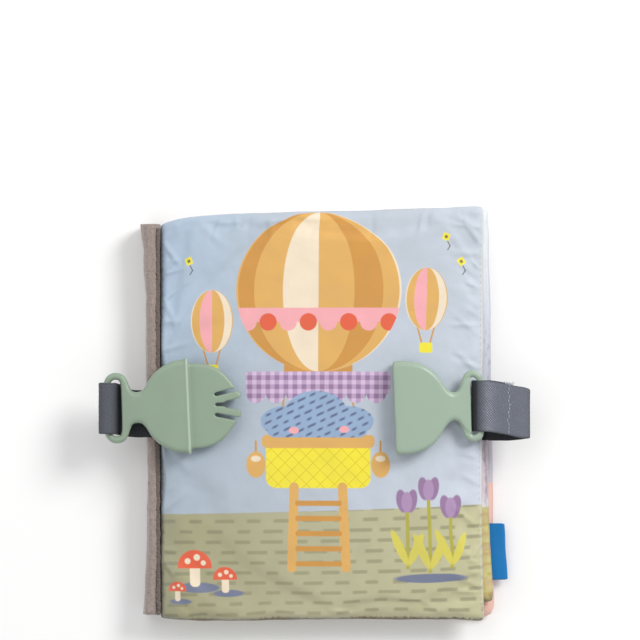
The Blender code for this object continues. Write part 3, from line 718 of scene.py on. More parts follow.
    # cloud before the ropes
    cloud = g.either(g.ellipse(p, 288, 421, 25, 15), g.ellipse(p, 318, 413, 31, 22), g.ellipse(p, 350, 421, 25, 15),
                     g.box(p, 319, 428, 50, 9, 0, 8.0))
    over(cloud, g.mix(dashes(g, p, 11.0, 7.5, 0.45, 4.0), blue, navy))
    over(g.ellipse(p, 296, 430, 5, 3.4), pink)
    over(g.ellipse(p, 346, 429, 5, 3.4), pink)
    # ladder to the ground
    for cx in (296, 344):
        over(g.capsule(p, cx, 486, cx + (cx - 320) * 0.12, 566, 4.6), ochre)
    for cy in range(502, 566, 15):
        over(g.box(p, 320, cy, 23, 2.6, 0, 2.0), dark)
    # toadstools, low left
    for cx, cy, r in ((196, 566, 17), (226, 578, 12), (178, 590, 9)):
        over(g.ellipse(p, cx + 3, cy + r * 1.25, r * 1.25, r * 0.3), shade)
        over(g.box(p, cx, cy + r * 0.55, r * 0.3, r * 0.65, 0, r * 0.25), cream)
        cap = g.both(g.ellipse(p, cx, cy, r, r * 0.95), g.below(y, cy + r * 0.12))
        over(cap, red)
        over(g.circle(p, cx - r * 0.42, cy - r * 0.3, r * 0.17), cream)
        over(g.circle(p, cx + r * 0.12, cy - r * 0.52, r * 0.19), cream)
        over(g.circle(p, cx + r * 0.5, cy - r * 0.2, r * 0.15), cream)
    # tulips, right
    for cx, cy, h in ((408, 500, 66), (430, 488, 82), (452, 506, 60)):
        over(g.capsule(p, cx, cy + 8, cx, cy + h, 1.8), srgb(176, 170, 62))
        over(g.ellipse(p, cx - 8, cy + h - 20, 4.2, 19.0, -24.0), green)
        over(g.ellipse(p, cx + 8, cy + h - 18, 4.2, 17.0, 24.0), green)
        over(g.ellipse(p, cx - 5.0, cy, 5.4, 11.5, -10.0), purple)
        over(g.ellipse(p, cx + 5.0, cy, 5.4, 11.5, 10.0), purple)
        over(g.ellipse(p, cx, cy + 1, 5.4, 10.0), srgb(174, 142, 182))
    over(g.ellipse(p, 431, 577, 36, 4.6), shade)
    # small kites
    for cx, cy, rot in ((190, 262, 20.0), (446, 238, -25.0), (462, 262, 10.0)):
        over(g.box(p, cx, cy, 3.6, 3.6, 45.0 + rot, 0.5), yellow)
        over(g.box(p, cx, cy, 1.5, 1.5, 45.0 + rot, 0.3), srgb(74, 70, 66))
        over(g.capsule(p, cx + 1.5, cy + 4.5, cx + 4.0, cy + 9, 0.45), srgb(74, 70, 66))
        over(g.capsule(p, cx + 4.0, cy + 9, cx + 1.5, cy + 13, 0.45), srgb(74, 70, 66))
    # the cloth's folded edge: a painted highlight along the fore edge, painted brown shade where it turns under below
    edge, side, _ = g.split(g.attr("lay"))
    right = g.math("MULTIPLY", g.ramp(x, 478.5, 481.0), g.ramp(edge, 1.6, 0.9))
    over(g.math("MULTIPLY", right, 0.22), srgb(236, 226, 206))
    # painted shade, brown and ragged, along the bottom edge where the cloth turns under
    shade_edge_noise = g.noise(p, 0.30, 3.0, 0.6)
    shade_raggedness = g.ramp(x, 440.0, 470.0, 0.45, 1.1)
    under = g.ramp(g.math("ADD", edge, g.math("MULTIPLY", g.ramp(shade_edge_noise, 0.3, 0.7, -1.0, 1.0), shade_raggedness)), 1.5, 0.5)
    under = g.math("MULTIPLY", g.math("MULTIPLY", under, g.ramp(y, 596.0, 608.0)), g.ramp(x, 483.5, 481.0))
    over(g.math("MULTIPLY", under, 0.85), srgb(84, 66, 44))
    # painted shade where the face dips into the spine seam, its border ragged
    seam_shade = g.ramp(g.math("ADD", x, g.ramp(shade_edge_noise, 0.3, 0.7, -1.2, 1.2)), 163.2, 160.4)
    over(g.math("MULTIPLY", seam_shade, 0.7), srgb(74, 62, 52))
    # painted shade darkening the print towards the spine, weakest around y 330
    over(g.math("MULTIPLY", g.math("MULTIPLY", g.ramp(x, 186.0, 161.0), g.ramp(g.math("ABSOLUTE", g.math("SUBTRACT", y, 330.0)), 30.0, 120.0, 0.1, 1.0)), 0.26), srgb(104, 112, 116))
    # the page side
    page = g.mix(g.ramp(y, 300.0, 520.0), srgb(232, 222, 206), srgb(214, 224, 206))
    hill = g.ellipse(p, 250, 640, 170, 150)
    page = g.mix(hill, page, srgb(178, 196, 140))
    page = g.mix(g.ellipse(p, 420, 660, 150, 150), page, srgb(160, 184, 140))
    page = g.mix(g.circle(p, 400, 290, 34), page, srgb(240, 196, 104))
    for cx, cy in ((230, 300), (300, 260), (350, 340)):
        page = g.mix(g.either(g.ellipse(p, cx, cy, 30, 13), g.ellipse(p, cx + 14, cy - 9, 18, 13)), page, srgb(244, 244, 246))
    col = g.mix(g.ramp(side, -0.2, 0.2), page, col)
    return cloth_surface(g, p, col)


def print_page(name, sky_c, ground_c, dash_c, split_y, low, accent):
    """A plainer printed page on both faces of a panel."""
    g = Graph(name, rough=0.75)
    p = g.attr("flat")
    x, y, _ = g.split(p)
    ground = g.mix(dashes(g, p, 27.0, 10.0, 0.02, 2.0), ground_c, dash_c)
    top = g.mix(g.below(y, split_y, 0.6), ground, sky_c)
    for cx, cy, r in ((250, 300, 40), (380, 360, 56), (300, 440, 30)):
        top = g.mix(g.circle(p, cx, cy, r), top, accent)
        top = g.mix(g.circle(p, cx, cy, r * 0.55), top, sky_c)
    bottom = g.mix(g.below(g.math("ADD", y, g.math("MULTIPLY", g.math("SINE", g.math("MULTIPLY", x, 0.03)), 14.0)), 470.0, 0.8), accent, low)
    edge, side, _ = g.split(g.attr("lay"))
    # the fore edge, where the page shows: greyed by painted shade from y 250 down and pinker from y 400 down, with
    # darker noise marks and a dark line near its edge
    sky_part = g.both(g.ramp(x, 480.0, 483.0), g.below(y, 500.0, 8.0))
    mottle = g.noise(g.vec("MULTIPLY", p, (1.0, 0.35, 1.0)), 0.35, 2.0, 0.6)
    fold = g.mix(g.ramp(y, 400.0, 450.0), g.mix(g.ramp(y, 250.0, 330.0), srgb(226, 232, 238), srgb(200, 204, 216)), srgb(212, 196, 206))
    fold = g.mix(g.math("MULTIPLY", g.ramp(mottle, 0.55, 0.75), g.ramp(y, 300.0, 350.0, 0.1, 0.7)), fold, srgb(150, 152, 166))
    top = g.mix(sky_part, top, fold)
    line = g.both(g.both(g.ramp(edge, 2.2, 1.4), g.ramp(edge, 0.1, 0.8)), g.both(g.ramp(y, 320.0, 430.0, 0.1, 0.9), g.below(y, 505.0, 10.0)))
    top = g.mix(g.math("MULTIPLY", line, g.ramp(mottle, 0.35, 0.6, 0.15, 0.75)), top, srgb(120, 116, 128))
    olive = g.both(g.ramp(x, 480.0, 483.0), g.ramp(y, 508.0, 512.0))
    stain = g.ramp(g.noise(p, 0.09, 2.0, 0.6), 0.4, 0.65)
    top = g.mix(g.math("MULTIPLY", olive, stain), top, srgb(196, 172, 124))
    # darker and browner along the bottom edge, ragged by noise
    bottom_edge_dark = g.both(g.ramp(g.math("ADD", edge, g.ramp(mottle, 0.3, 0.7, -1.0, 1.0)), 3.2, 1.0), g.ramp(y, 590.0, 598.0))
    top = g.mix(g.math("MULTIPLY", bottom_edge_dark, 0.7), top, srgb(112, 96, 46))
    col = g.mix(g.ramp(side, -0.2, 0.2), bottom, top)
    return cloth_surface(g, p, col)


def print_back():
    g = Graph("back_print", rough=0.78)
    p = g.attr("flat")
    x, y, _ = g.split(p)
    outer = g.mix(g.below(y, 483.7, 0.6), srgb(240, 192, 178), srgb(204, 198, 210))
    edge, side, _ = g.split(g.attr("lay"))
    page = g.mix(g.below(y, 483.7, 0.6), srgb(226, 196, 170), srgb(214, 216, 226))
    face = g.both(g.ramp(side, 0.0, 0.3), g.ramp(edge, 5.0, 6.0))
    for cx, cy, r in ((260, 360, 46), (390, 330, 36), (330, 540, 50)):
        page = g.mix(g.circle(p, cx, cy, r), page, srgb(240, 214, 140))
    return cloth_surface(g, p, g.mix(face, outer, page), sheen=0.3)


cover.data.materials.append(print_cover())
leaf.data.materials.append(print_page("leaf_print", srgb(230, 228, 234), srgb(203, 196, 128), srgb(190, 172, 100), 508.0,
                                      srgb(214, 226, 232), srgb(240, 206, 190)))
back.data.materials.append(print_back())
for obj, body, nodes in ((cover, "front_cover", ("cover_print_cloth", "cover_page_cloth", "cover_wadding", "cover_crinkle_film")),
                         (leaf, "inner_leaf", ("leaf_front_page_cloth", "leaf_back_page_cloth", "leaf_wadding", "leaf_crinkle_film", "leaf_edge_stitch", "leaf_seam_tab")),
                         (back, "back_cover", ("back_outer_cloth", "back_page_cloth", "back_wadding", "back_crinkle_film", "back_edge_stitch"))):
    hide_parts(*nodes)
    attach(obj, body)


# -------------------------------------------------------------------- spine
SPINE_Y = (-102, -97, -91, -85, -79, -73, -61, -49, -43, -31, -25, 20, 56, 62, 68, 74, 80, 86, 92)
SPINE_W = (8.8, 8.2, 7.7, 7.6, 7.2, 7.1, 6.8, 6.7, 6.4, 6.4, 6.8, 7.2, 7.2, 7.7, 8.2, 8.6, 8.3, 9.4, 10.0)


def spine_cloth(name, front):
    """One half of the wrapped spine: a gathered tube of thick, fuzzy cloth."""
    ny, na = 300, 30
    verts = []
    for i in range(ny + 1):
        t = i / ny
        y = -102.5 + 195.6 * t
        w = np.interp(y, SPINE_Y, SPINE_W) + 0.22 * noise.noise(Vector((y / 9, 0, 3.0))) + 0.12 * noise.noise(Vector((y / 3, 1, 3.0)))
        lean = 0.12 * noise.noise(Vector((y / 30, 4, 3.0)))
        end = min(1.0, (min(t, 1 - t) * 195.6 + 0.35) / 2.2)
        high = (9.35 if front else 9.5) * (0.90 + 0.10 * end ** 0.5)
        for j in range(na + 1):
            # from the seam side, over the top (or under), round to the outer side
            q = math.radians(8 + 172 * j / na)
            c, s = math.cos(q), math.sin(q)
            c += lean * (1 - c * c)
            x = -w / 2 - 0.2 + (w / 2) * math.copysign(abs(c) ** (2 / 2.3), c)
            z = high * s ** (2 / 2.6)
            r = (0.62 * noise.noise(Vector((x / 1.6 + 5 * front, y / 30.0, z / 5)))
                 + 0.26 * noise.noise(Vector((x / 2.2, y / 5.0, z / 3.5 + 9)))
                 + 0.11 * noise.noise(Vector((x / 0.8, y / 1.0, z / 0.8 + 9))))
            fade = math.sin(math.pi * j / na) ** 0.5 if 0 < j < na else 0.0
            nx, nz = (x + w / 2) / w, z / 18.0
            size = math.hypot(nx, nz) + 1e-6
            x, z = x + nx / size * r * fade, z + nz / size * r * fade
            verts.append(mm(x, y, 10.0 + z if front else 10.0 - z))
    faces = [(i * (na + 1) + j, (i + 1) * (na + 1) + j, (i + 1) * (na + 1) + j + 1, i * (na + 1) + j + 1)
             for i in range(ny) for j in range(na)]
    # an inner side, so that it is a body and not a sheet
    n = len(verts)
    for i in range(ny + 1):
        for j in range(na + 1):
            v = verts[i * (na + 1) + j]
            c = mm(-3.4, 0, 10.0)
            verts.append(Vector((c.x + (v.x - c.x) * 0.84, v.y, c.z + (v.z - c.z) * 0.90)))
    back_faces = [tuple(n + k for k in reversed(f)) for f in faces]
    rim = []
    for i in range(ny):
        for j in (0, na):
            a, b = i * (na + 1) + j, (i + 1) * (na + 1) + j
            rim.append((a, b, n + b, n + a) if j else (b, a, n + a, n + b))
    for j in range(na):
        for i in (0, ny):
            a, b = i * (na + 1) + j, i * (na + 1) + j + 1
            rim.append((a, b, n + b, n + a) if i == 0 else (b, a, n + a, n + b))
    obj = new_object(name, verts, faces + back_faces + rim)
    outward(obj)
    return obj


def fuzzy_cloth(name, light, mid, dark, scale=1.0):
    g = Graph(name, rough=0.95)
    made = g.node("ShaderNodeTexCoord")
    p = made.outputs["Object"]
    grain = g.noise(p, 900.0 * scale, 5.0, 0.7)
    slub = g.noise(g.vec("MULTIPLY", p, (3.0, 0.6, 1.0)), 260.0 * scale, 3.0, 0.6)
    col = g.mix(g.ramp(grain, 0.3, 0.7), dark, light)
    col = g.mix(g.ramp(slub, 0.3, 0.7, 0.2, 0.8), mid, col)
    g.colour(col)
    g.normal(g.bump(g.math("ADD", grain, slub), 0.6, 0.0006))
    g.shader.inputs["Sheen Weight"].default_value = 0.5
    return g.mat


SPINE_MAT = fuzzy_cloth("spine_fuzz", srgb(184, 170, 163), srgb(150, 134, 127), srgb(102, 90, 85))
SEAM_MAT = fuzzy_cloth("seam_fuzz", srgb(142, 126, 118), srgb(108, 94, 86), srgb(58, 48, 42), 1.4)
spine_front = spine_cloth("spine_wrap_front", True)
spine_back = spine_cloth("spine_wrap_back", False)
for obj in (spine_front, spine_back):
    obj.data.materials.append(SPINE_MAT)
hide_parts("spine_front_cloth")
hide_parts("spine_back_cloth")
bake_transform(spine_back)
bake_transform(spine_front)


def seam_fringe():
    """The overlocked seam allowance that stands between spine and cover."""
    verts, faces = [], []
    y = -102.0
    k = 0
    while y < 91.5:
        step = 0.75 + 0.5 * RNG.random()
        x0 = -0.15 + 0.35 * noise.noise(Vector((y / 4, 0, 0))) + 0.3 * smoothstep(-40.0, -90.0, y)
        reach = 1.5 + 0.8 * RNG.random() + 0.6 * noise.noise(Vector((y / 12, 5, 0)))
        z = 18.55 + 0.25 * noise.noise(Vector((y / 8, 9, 0)))
        tilt = (RNG.random() - 0.5) * 0.9
        h = 0.42
        base = len(verts)
        for dx, dz in ((0.0, -0.5), (0.0, 0.35 * h), (-reach * 0.5, 0.55 + 0.2 * RNG.random()), (-reach, 0.15), (-reach, -0.35)):
            for s in (-1, 1):
                verts.append(mm(x0 + dx, y + s * step * 0.62 + tilt * (-dx / 3.0), z + dz))
        for i in range(4):
            a = base + 2 * i
            faces.append((a, a + 1, a + 3, a + 2))
        faces.append((base, base + 2, base + 4, base + 6, base + 8))
        faces.append((base + 9, base + 7, base + 5, base + 3, base + 1))
        faces.append((base + 8, base + 9, base + 1, base))
        y += step
        k += 1
    obj = new_object("spine_seam_overlock", verts, faces, SEAM_MAT)
    outward(obj)
    return obj


seam = seam_fringe()
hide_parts("spine_seam_stitch")
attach(seam, "front_cover")


# ---------------------------------------------------------------------- webbing
def path_points(knots, count):
    """Evenly spaced points on a Catmull-Rom curve through (x, z, y) knots."""
    fine = []
    segs = len(knots) - 1
    for k in range(segs * 24 + 1):
        u = k / 24
        i = min(int(u), segs - 1)
        t = u - i
        p = [np.array(knots[max(i - 1, 0)]), np.array(knots[i]), np.array(knots[i + 1]), np.array(knots[min(i + 2, segs)])]
        fine.append(0.5 * (2 * p[1] + (p[2] - p[0]) * t + (2 * p[0] - 5 * p[1] + 4 * p[2] - p[3]) * t * t
                           + (-p[0] + 3 * p[1] - 3 * p[2] + p[3]) * t ** 3))
    fine = np.array(fine)
    run = np.concatenate([[0], np.cumsum(np.linalg.norm(np.diff(fine[:, :2], axis=0), axis=1))])
    at = np.linspace(0, run[-1], count)
    return np.stack([np.interp(at, run, fine[:, i]) for i in range(3)], 1), run[-1]


def webbing(name, knots, dark_to, step=0.45, width=25.4, thick=1.25):
    """Woven tape swept along a path, its edges rounded and a little wavy. Up to
    dark_to mm along it the tape is painted dark as shade, and it is drawn in a little."""
    _, length = path_points(knots, 10)
    count = int(length / step)
    path, length = path_points(knots, count)
    # dark_to: where the painted shade ends and the lit stretch starts, and the knot in whose shadow the lit stretch
    # ends, painted dark again after it
    k = int(np.argmin(np.hypot(path[:, 0] - dark_to[1][0], path[:, 1] - dark_to[1][1])))
    dark_to = (dark_to[0], length * k / (count - 1))
    cross = []
    half = width / 2
    for s in np.linspace(-1, 1, 25):
        cross.append((s * (half - 0.5), 1.0))
    edge = [(half - 0.5 + 0.5 * math.sin(a), math.cos(a)) for a in np.linspace(0, math.pi, 5)[1:-1]]
    loop = cross + edge + [(c, -1.0) for c, _ in reversed(cross)] + [(-c, -s) for c, s in edge]
    n = len(loop)
    verts, lay, tone = [], [], []
    for i, (x, z, yc) in enumerate(path):
        a, b = path[max(i - 1, 0)], path[min(i + 1, count - 1)]
        narrow = 0.93 + 0.07 * float(smoothstep(dark_to[0] - 4, dark_to[0] + 6, length * i / (count - 1)))
        t = np.array([b[0] - a[0], b[1] - a[1]])
        t /= np.linalg.norm(t)
        nx, nz = -t[1], t[0]
        s_mm = length * i / (count - 1)
        for c, side in loop:
            wob = 0.10 * noise.noise(Vector((s_mm / 5, c / 9, 0.5))) + 0.05 * noise.noise(Vector((s_mm / 1.4, c / 2, 4.0)))
            rib = 0.05 * math.sin(c * 2 * math.pi / 2.6)
            h = side * thick / 2 + wob + side * rib * (abs(c) < half - 0.6)
            slack = 0.12 * noise.noise(Vector((s_mm / 6, 8.0 * np.sign(c), 2.0))) * (abs(c) > half - 1.5)
            verts.append(mm(x + nx * h, yc + c * narrow + slack, z + nz * h))
            lay.append((s_mm, c, side))
            # tone: 1 on the lit stretch and 0 where shade is painted; how flat the tape lies, for painted shade on its
            # steep sides; the right strap's bar crest, for a painted highlight
            tilt = abs(nz)
            crest = math.exp(-((x - 163.5) / 3.2) ** 2) if z > 27 else 0.0
            tone.append((float(smoothstep(dark_to[0] - 1, dark_to[0] + 1, s_mm) * (1 - smoothstep(dark_to[1] - 0.5, dark_to[1] + 0.5, s_mm))), tilt, crest))
    faces = [(k * n + i, k * n + (i + 1) % n, (k + 1) * n + (i + 1) % n, (k + 1) * n + i)
             for k in range(count - 1) for i in range(n)]
    faces += [tuple(reversed(range(n))), tuple(range((count - 1) * n, count * n))]
    obj = new_object(name, verts, faces)
    outward(obj)
    set_attr(obj, "lay", lay)
    set_attr(obj, "tone", tone)
    return obj


def web_material():
    g = Graph("webbing_weave", rough=0.78)
    p = g.attr("lay")
    s, c, side = g.split(p)
    made = g.node("ShaderNodeTexCoord")
    s_side, _, _ = g.split(made.outputs["Object"])
    # twill: fine slanted ribs, with flecks where single threads catch the light
    slant = g.math("ADD", s, g.math("MULTIPLY", c, 0.9))
    rib = g.math("SINE", g.math("MULTIPLY", slant, 2 * math.pi / 1.1))
    cross = g.math("SINE", g.math("MULTIPLY", g.math("SUBTRACT", s, g.math("MULTIPLY", c, 0.6)), 2 * math.pi / 1.7))
    cell = g.noise(p, 1.7, 2.0, 0.7)
    grain = g.noise(p, 4.0, 3.0, 0.7)
    wear = g.noise(p, 0.16, 2.0, 0.5)
    fine = g.math("SINE", g.math("MULTIPLY", s, 2 * math.pi / 0.62))
    tone = g.math("ADD", g.math("MULTIPLY", rib, 0.07), g.math("ADD", g.math("MULTIPLY", cross, 0.06), g.math("MULTIPLY", fine, 0.06)))
    tone = g.math("ADD", g.math("ADD", tone, g.ramp(grain, 0.25, 0.75, -0.50, 0.50)), 0.5)
    col = g.mix(g.ramp(tone, 0.0, 1.0), srgb(75, 79, 89), srgb(123, 129, 142))
    lit, tilt, crest = g.split(g.attr("tone"))
    big = g.noise(g.vec("MULTIPLY", p, (1.3, 1.0, 1.0)), 2.6, 2.0, 0.6)
    fleck = g.math("MULTIPLY", g.ramp(cell, 0.57, 0.68), g.ramp(rib, -0.2, 0.9))
    col = g.mix(g.math("MULTIPLY", fleck, 0.45), col, srgb(186, 190, 200))
    # painted highlight: dots of light along the twill, strongest over the right strap's crest
    back = g.math("SINE", g.math("MULTIPLY", g.math("SUBTRACT", s, g.math("MULTIPLY", c, 0.9)), 2 * math.pi / 1.3))
    dots = g.math("MULTIPLY", g.ramp(g.math("ADD", rib, back), 0.1, 1.3), g.ramp(big, 0.35, 0.6, 0.25, 1.0))
    shine = g.math("MULTIPLY", g.math("ADD", g.math("MULTIPLY", crest, 0.8), 0.08), dots)
    col = g.mix(shine, col, srgb(186, 190, 200))
    # painted shade: the tape darkens where it stands steep, away from the light from above
    col = g.mix(g.ramp(tilt, 0.96, 0.45, 0.0, 0.62), col, srgb(44, 47, 54))
    col = g.mix(g.ramp(wear, 0.4, 0.7, 0.0, 0.3), col, srgb(96, 99, 107))
    col = g.mix(g.ramp(g.math("ABSOLUTE", c), 11.7, 12.5, 0.0, 0.6), col, srgb(64, 67, 75))
    # painted shade over the left strap, with its painted highlight dots again on top
    col = g.mix(g.ramp(s_side, 0.0, -0.02, 0.0, 0.45), col, srgb(38, 40, 46))
    col = g.mix(g.math("MULTIPLY", shine, g.ramp(s_side, 0.0, -0.02, 0.0, 0.5)), col, srgb(170, 175, 186))
    # painted shade on the right strap where it drops into the clip's slot
    col = g.mix(g.math("MULTIPLY", g.ramp(s_side, 0.0858, 0.0788, 0.0, 0.8), g.ramp(s_side, 0.0, 0.02)), col, srgb(30, 34, 40))
    # painted shade on the tape's unlit stretches: a dark, grainy colour
    night = g.mix(g.ramp(grain, 0.3, 0.7), srgb(29, 31, 36), srgb(52, 55, 61))
    col = g.mix(lit, night, col)
    g.colour(col)
    height = g.math("ADD", g.math("MULTIPLY", rib, 0.6), g.math("ADD", g.math("MULTIPLY", cross, 0.3), g.math("MULTIPLY", cell, 1.6)))
    g.normal(g.bump(height, 0.6, 0.0003))
    g.shader.inputs["Sheen Weight"].default_value = 0.10
    g.shader.inputs["Sheen Roughness"].default_value = 0.4
    return g.mat


WEB_MAT = web_material()
bx, bz = -25.78, 26.7
turn = [(bx + 3.85 * math.cos(math.radians(a)), bz + 3.85 * math.sin(math.radians(a)), 1.0) for a in range(-105, -331, -25)]
left_strap = webbing("left_webbing", [(3.0, 20.75, -1.9), (-0.7, 20.9, -1.9), (-6.0, 20.95, -1.9), (-12.0, 20.8, -1.8),
                                      (-18.0, 20.8, -1.2), (-22.5, 21.5, 0.2)] + turn
                     + [(-21.75, 26.8, 1.0), (-21.3, 24.9, 0.8), (-20.6, 23.5, 0.5), (-19.2, 22.7, 0.2)], (24.0, (-22.0, 27.7)))
bx, bz = 159.88, 26.7
right_strap = webbing("right_webbing", [(161.5, 13.4, -3.6), (163.6, 14.6, -3.6), (165.6, 16.9, -3.6), (169.5, 18.3, -3.6),
                                        (174.5, 18.9, -3.5), (180.0, 20.0, -3.0), (183.5, 22.0, -2.3), (184.15, 24.3, -1.8),
                                        (182.7, 26.4, -1.3), (178.5, 27.9, -0.7), (173.0, 28.75, 0.5), (168.0, 29.3, 1.5),
                                        (164.0, 29.5, 2.1), (161.3, 29.35, 2.25), (159.4, 28.75, 2.25), (157.9, 27.6, 2.25),
                                        (156.7, 26.0, 2.25), (156.1, 24.4, 2.25), (156.6, 23.2, 2.25), (158.4, 22.9, 2.25),
                                        (161.5, 23.5, 2.25), (165.0, 24.8, 2.25), (168.4, 26.1, 1.8), (172.0, 27.0, 1.2), (175.0, 27.0, 0.6)],
                      (26.0, (158.3, 27.95)))
for obj, side, body in ((left_strap, "left", "left_strap_end"), (right_strap, "right", "right_strap_end")):
    obj.data.materials.append(WEB_MAT)
    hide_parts(side + "_strap", side + "_strap_loop")
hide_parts("left_strap_stitch")
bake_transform(left_strap)
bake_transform(right_strap)


# ----------------------------------------------------------------------- thread
def thread_material(name, a, b):
    g = Graph(name, rough=0.7)
    made = g.node("ShaderNodeTexCoord")
    twist = g.wave(made.outputs["Object"], 700.0, "DIAGONAL", 1.0)
    fuzz = g.noise(made.outputs["Object"], 2500.0, 2.0)
    g.colour(g.mix(g.math("MULTIPLY", g.math("ADD", twist, fuzz), 0.5), a, b))
    g.normal(g.bump(twist, 0.5, 0.0001))
    return g.mat


def thread(name, runs, radius, mat):
    """Round threads through runs of points in book mm."""
    verts, faces = [], []
    for run in runs:
        run = [Vector(p) for p in run]
        base = len(verts)
        m = 7
        for i, p in enumerate(run):
            t = (run[min(i + 1, len(run) - 1)] - run[max(i - 1, 0)]).normalized()
            side = t.cross(Vector((0, 0, 1)))
            side = side.normalized() if side.length > 1e-6 else Vector((1, 0, 0))
            up = side.cross(t)
            r = radius * (0.55 if i in (0, len(run) - 1) else 1.0)
            for k in range(m):
                q = 2 * math.pi * k / m
                verts.append(mm(*(p + side * r * math.cos(q) + up * r * math.sin(q))))
        for i in range(len(run) - 1):
            for k in range(m):
                a, b = base + i * m, base + (i + 1) * m
                faces.append((a + k, a + (k + 1) % m, b + (k + 1) % m, b + k))
        faces.append(tuple(base + k for k in reversed(range(m))))
        faces.append(tuple(base + (len(run) - 1) * m + k for k in range(m)))
    obj = new_object(name, verts, faces, mat)
    outward(obj)
    return obj


def tree_of(obj):
    return BVHTree.FromPolygons([v.co for v in obj.data.vertices], [tuple(f.vertices) for f in obj.data.polygons])


def on_top(tree, x, y, otherwise):
    """Height in book mm of the surface below a point seen from above."""
    hit = tree.ray_cast(mm(x, y, 60.0), Vector((0, 0, -1)))[0]
    return hit.z * 1000 if hit is not None else otherwise


PALE = thread_material("thread_pale", srgb(192, 192, 186), srgb(214, 214, 208))
# fore edge of the cover: short stitches sunk in their groove
cover_tree, strap_tree = tree_of(cover), tree_of(right_strap)
runs = []
y = -98.0
while y < 95.0:
    xr = float(curve_at(COVER["right"], y)) - 1.3
    run = []
    for dx, dy, up in ((0.0, 0.0, -0.15), (0.05, 0.6, 0.08), (0.0, 1.6, 0.08), (0.0, 2.2, -0.15)):
        run.append((xr + dx, y + dy, on_top(cover_tree, xr + dx, y + dy, 18.6) + up))
    runs.append(run)
    y += 3.1
edge_stitch = thread("cover_fore_edge_stitches", runs, 0.13, PALE)
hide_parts("cover_edge_stitch")
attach(edge_stitch, "front_cover")

# the row across the right strap, with loose ends at its upper edge
runs = []
y = -11.6
k = 0
while y < 12.6:
    x = 173.8 + 0.3 * math.sin(y * 1.3) + 0.25 * math.sin(y * 0.47 + 1.0) + 0.012 * y
    z = on_top(strap_tree, x, min(max(y + 0.8, -11.0), 12.0), 29.2)
    runs.append([(x, y, z - 0.25), (x + 0.15, y + 0.35, z + 0.1), (x + 0.1, y + 1.3, z + 0.1), (x - 0.05, y + 1.7, z - 0.25)])
    y += 1.95
for i in range(7):
    x = 172.9 + 0.4 * i
    runs.append([(x, 12.2, 29.0), (x + 0.2 * (i - 3), 13.0 + 0.4 * RNG.random(), 29.2),
                 (x + 0.45 * (i - 3), 13.7 + 0.9 * RNG.random(), 29.0)])
strap_stitch = thread("right_strap_row", runs, 0.24, thread_material("thread_white", srgb(126, 131, 141), srgb(182, 186, 195)))
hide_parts("right_strap_stitch")
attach(strap_stitch, "right_strap_end")


# ------------------------------------------------------------------------ clips
def clip_material():
    g = Graph("clip_sage", rough=0.38)
    made = g.node("ShaderNodeTexCoord")
    p = made.outputs["Object"]
    fine = g.noise(p, 1500.0, 3.0, 0.6)
    wide = g.noise(p, 45.0, 3.0, 0.5)
    x, _, _ = g.split(p)
    # painted shade and light: the left (male) half darker, the right (female) half lighter
    col = g.mix(g.ramp(x, -0.045, 0.05), srgb(139, 158, 138), srgb(155, 174, 157))
    col = g.mix(g.ramp(wide, 0.3, 0.7, 0.0, 0.25), col, srgb(150, 172, 150))
    col = g.mix(g.ramp(fine, 0.3, 0.75, 0.0, 0.05), col, srgb(118, 138, 119))
    # painted highlight along the stop flange's crest
    ridge = g.attr("ridge", "Fac")
    col = g.mix(g.math("MULTIPLY", ridge, 0.6), col, srgb(186, 205, 186))
    g.colour(col)
    g.put(g.shader.inputs["Roughness"], g.ramp(wide, 0.3, 0.7, 0.30, 0.38))
    g.normal(g.bump(fine, 0.05, 0.0001))
    g.shader.inputs["Subsurface Weight"].default_value = 0.08
    g.shader.inputs["Subsurface Radius"].default_value = (0.002, 0.003, 0.002)
    return g.mat


def soft_copy(node, name, voxel, rounds):
    src = NODES[node]
    mesh = src.data.copy()
    mesh.transform(src.matrix_world)
    obj = bpy.data.objects.new(name, mesh)
    bpy.context.collection.objects.link(obj)
    mesh.materials.clear()
    rem = obj.modifiers.new("remesh", "REMESH")
    rem.mode = "VOXEL"
    rem.voxel_size = voxel
    smo = obj.modifiers.new("smooth", "SMOOTH")
    smo.factor = 0.5
    smo.iterations = rounds
    bake_modifiers(obj)
    obj.data.shade_smooth()
    return obj


def slant_face(obj, face, all_over, at_top):
    """Both halves' parting faces slant a little: their upper ends sit further left (m)."""
    co = points(obj)
    turn = math.radians(1.6)
    dx, dy = co[:, 0] - face.x, co[:, 1] - face.y
    s, v = dx * math.cos(turn) + dy * math.sin(turn), -dx * math.sin(turn) + dy * math.cos(turn)
    near = 1 - smoothstep(0.0020, 0.0130, np.abs(s))
    co[:, 0] -= near * (all_over + at_top * np.clip((v + 0.0233) / 0.0466, 0, 1))
    set_points(obj, co)


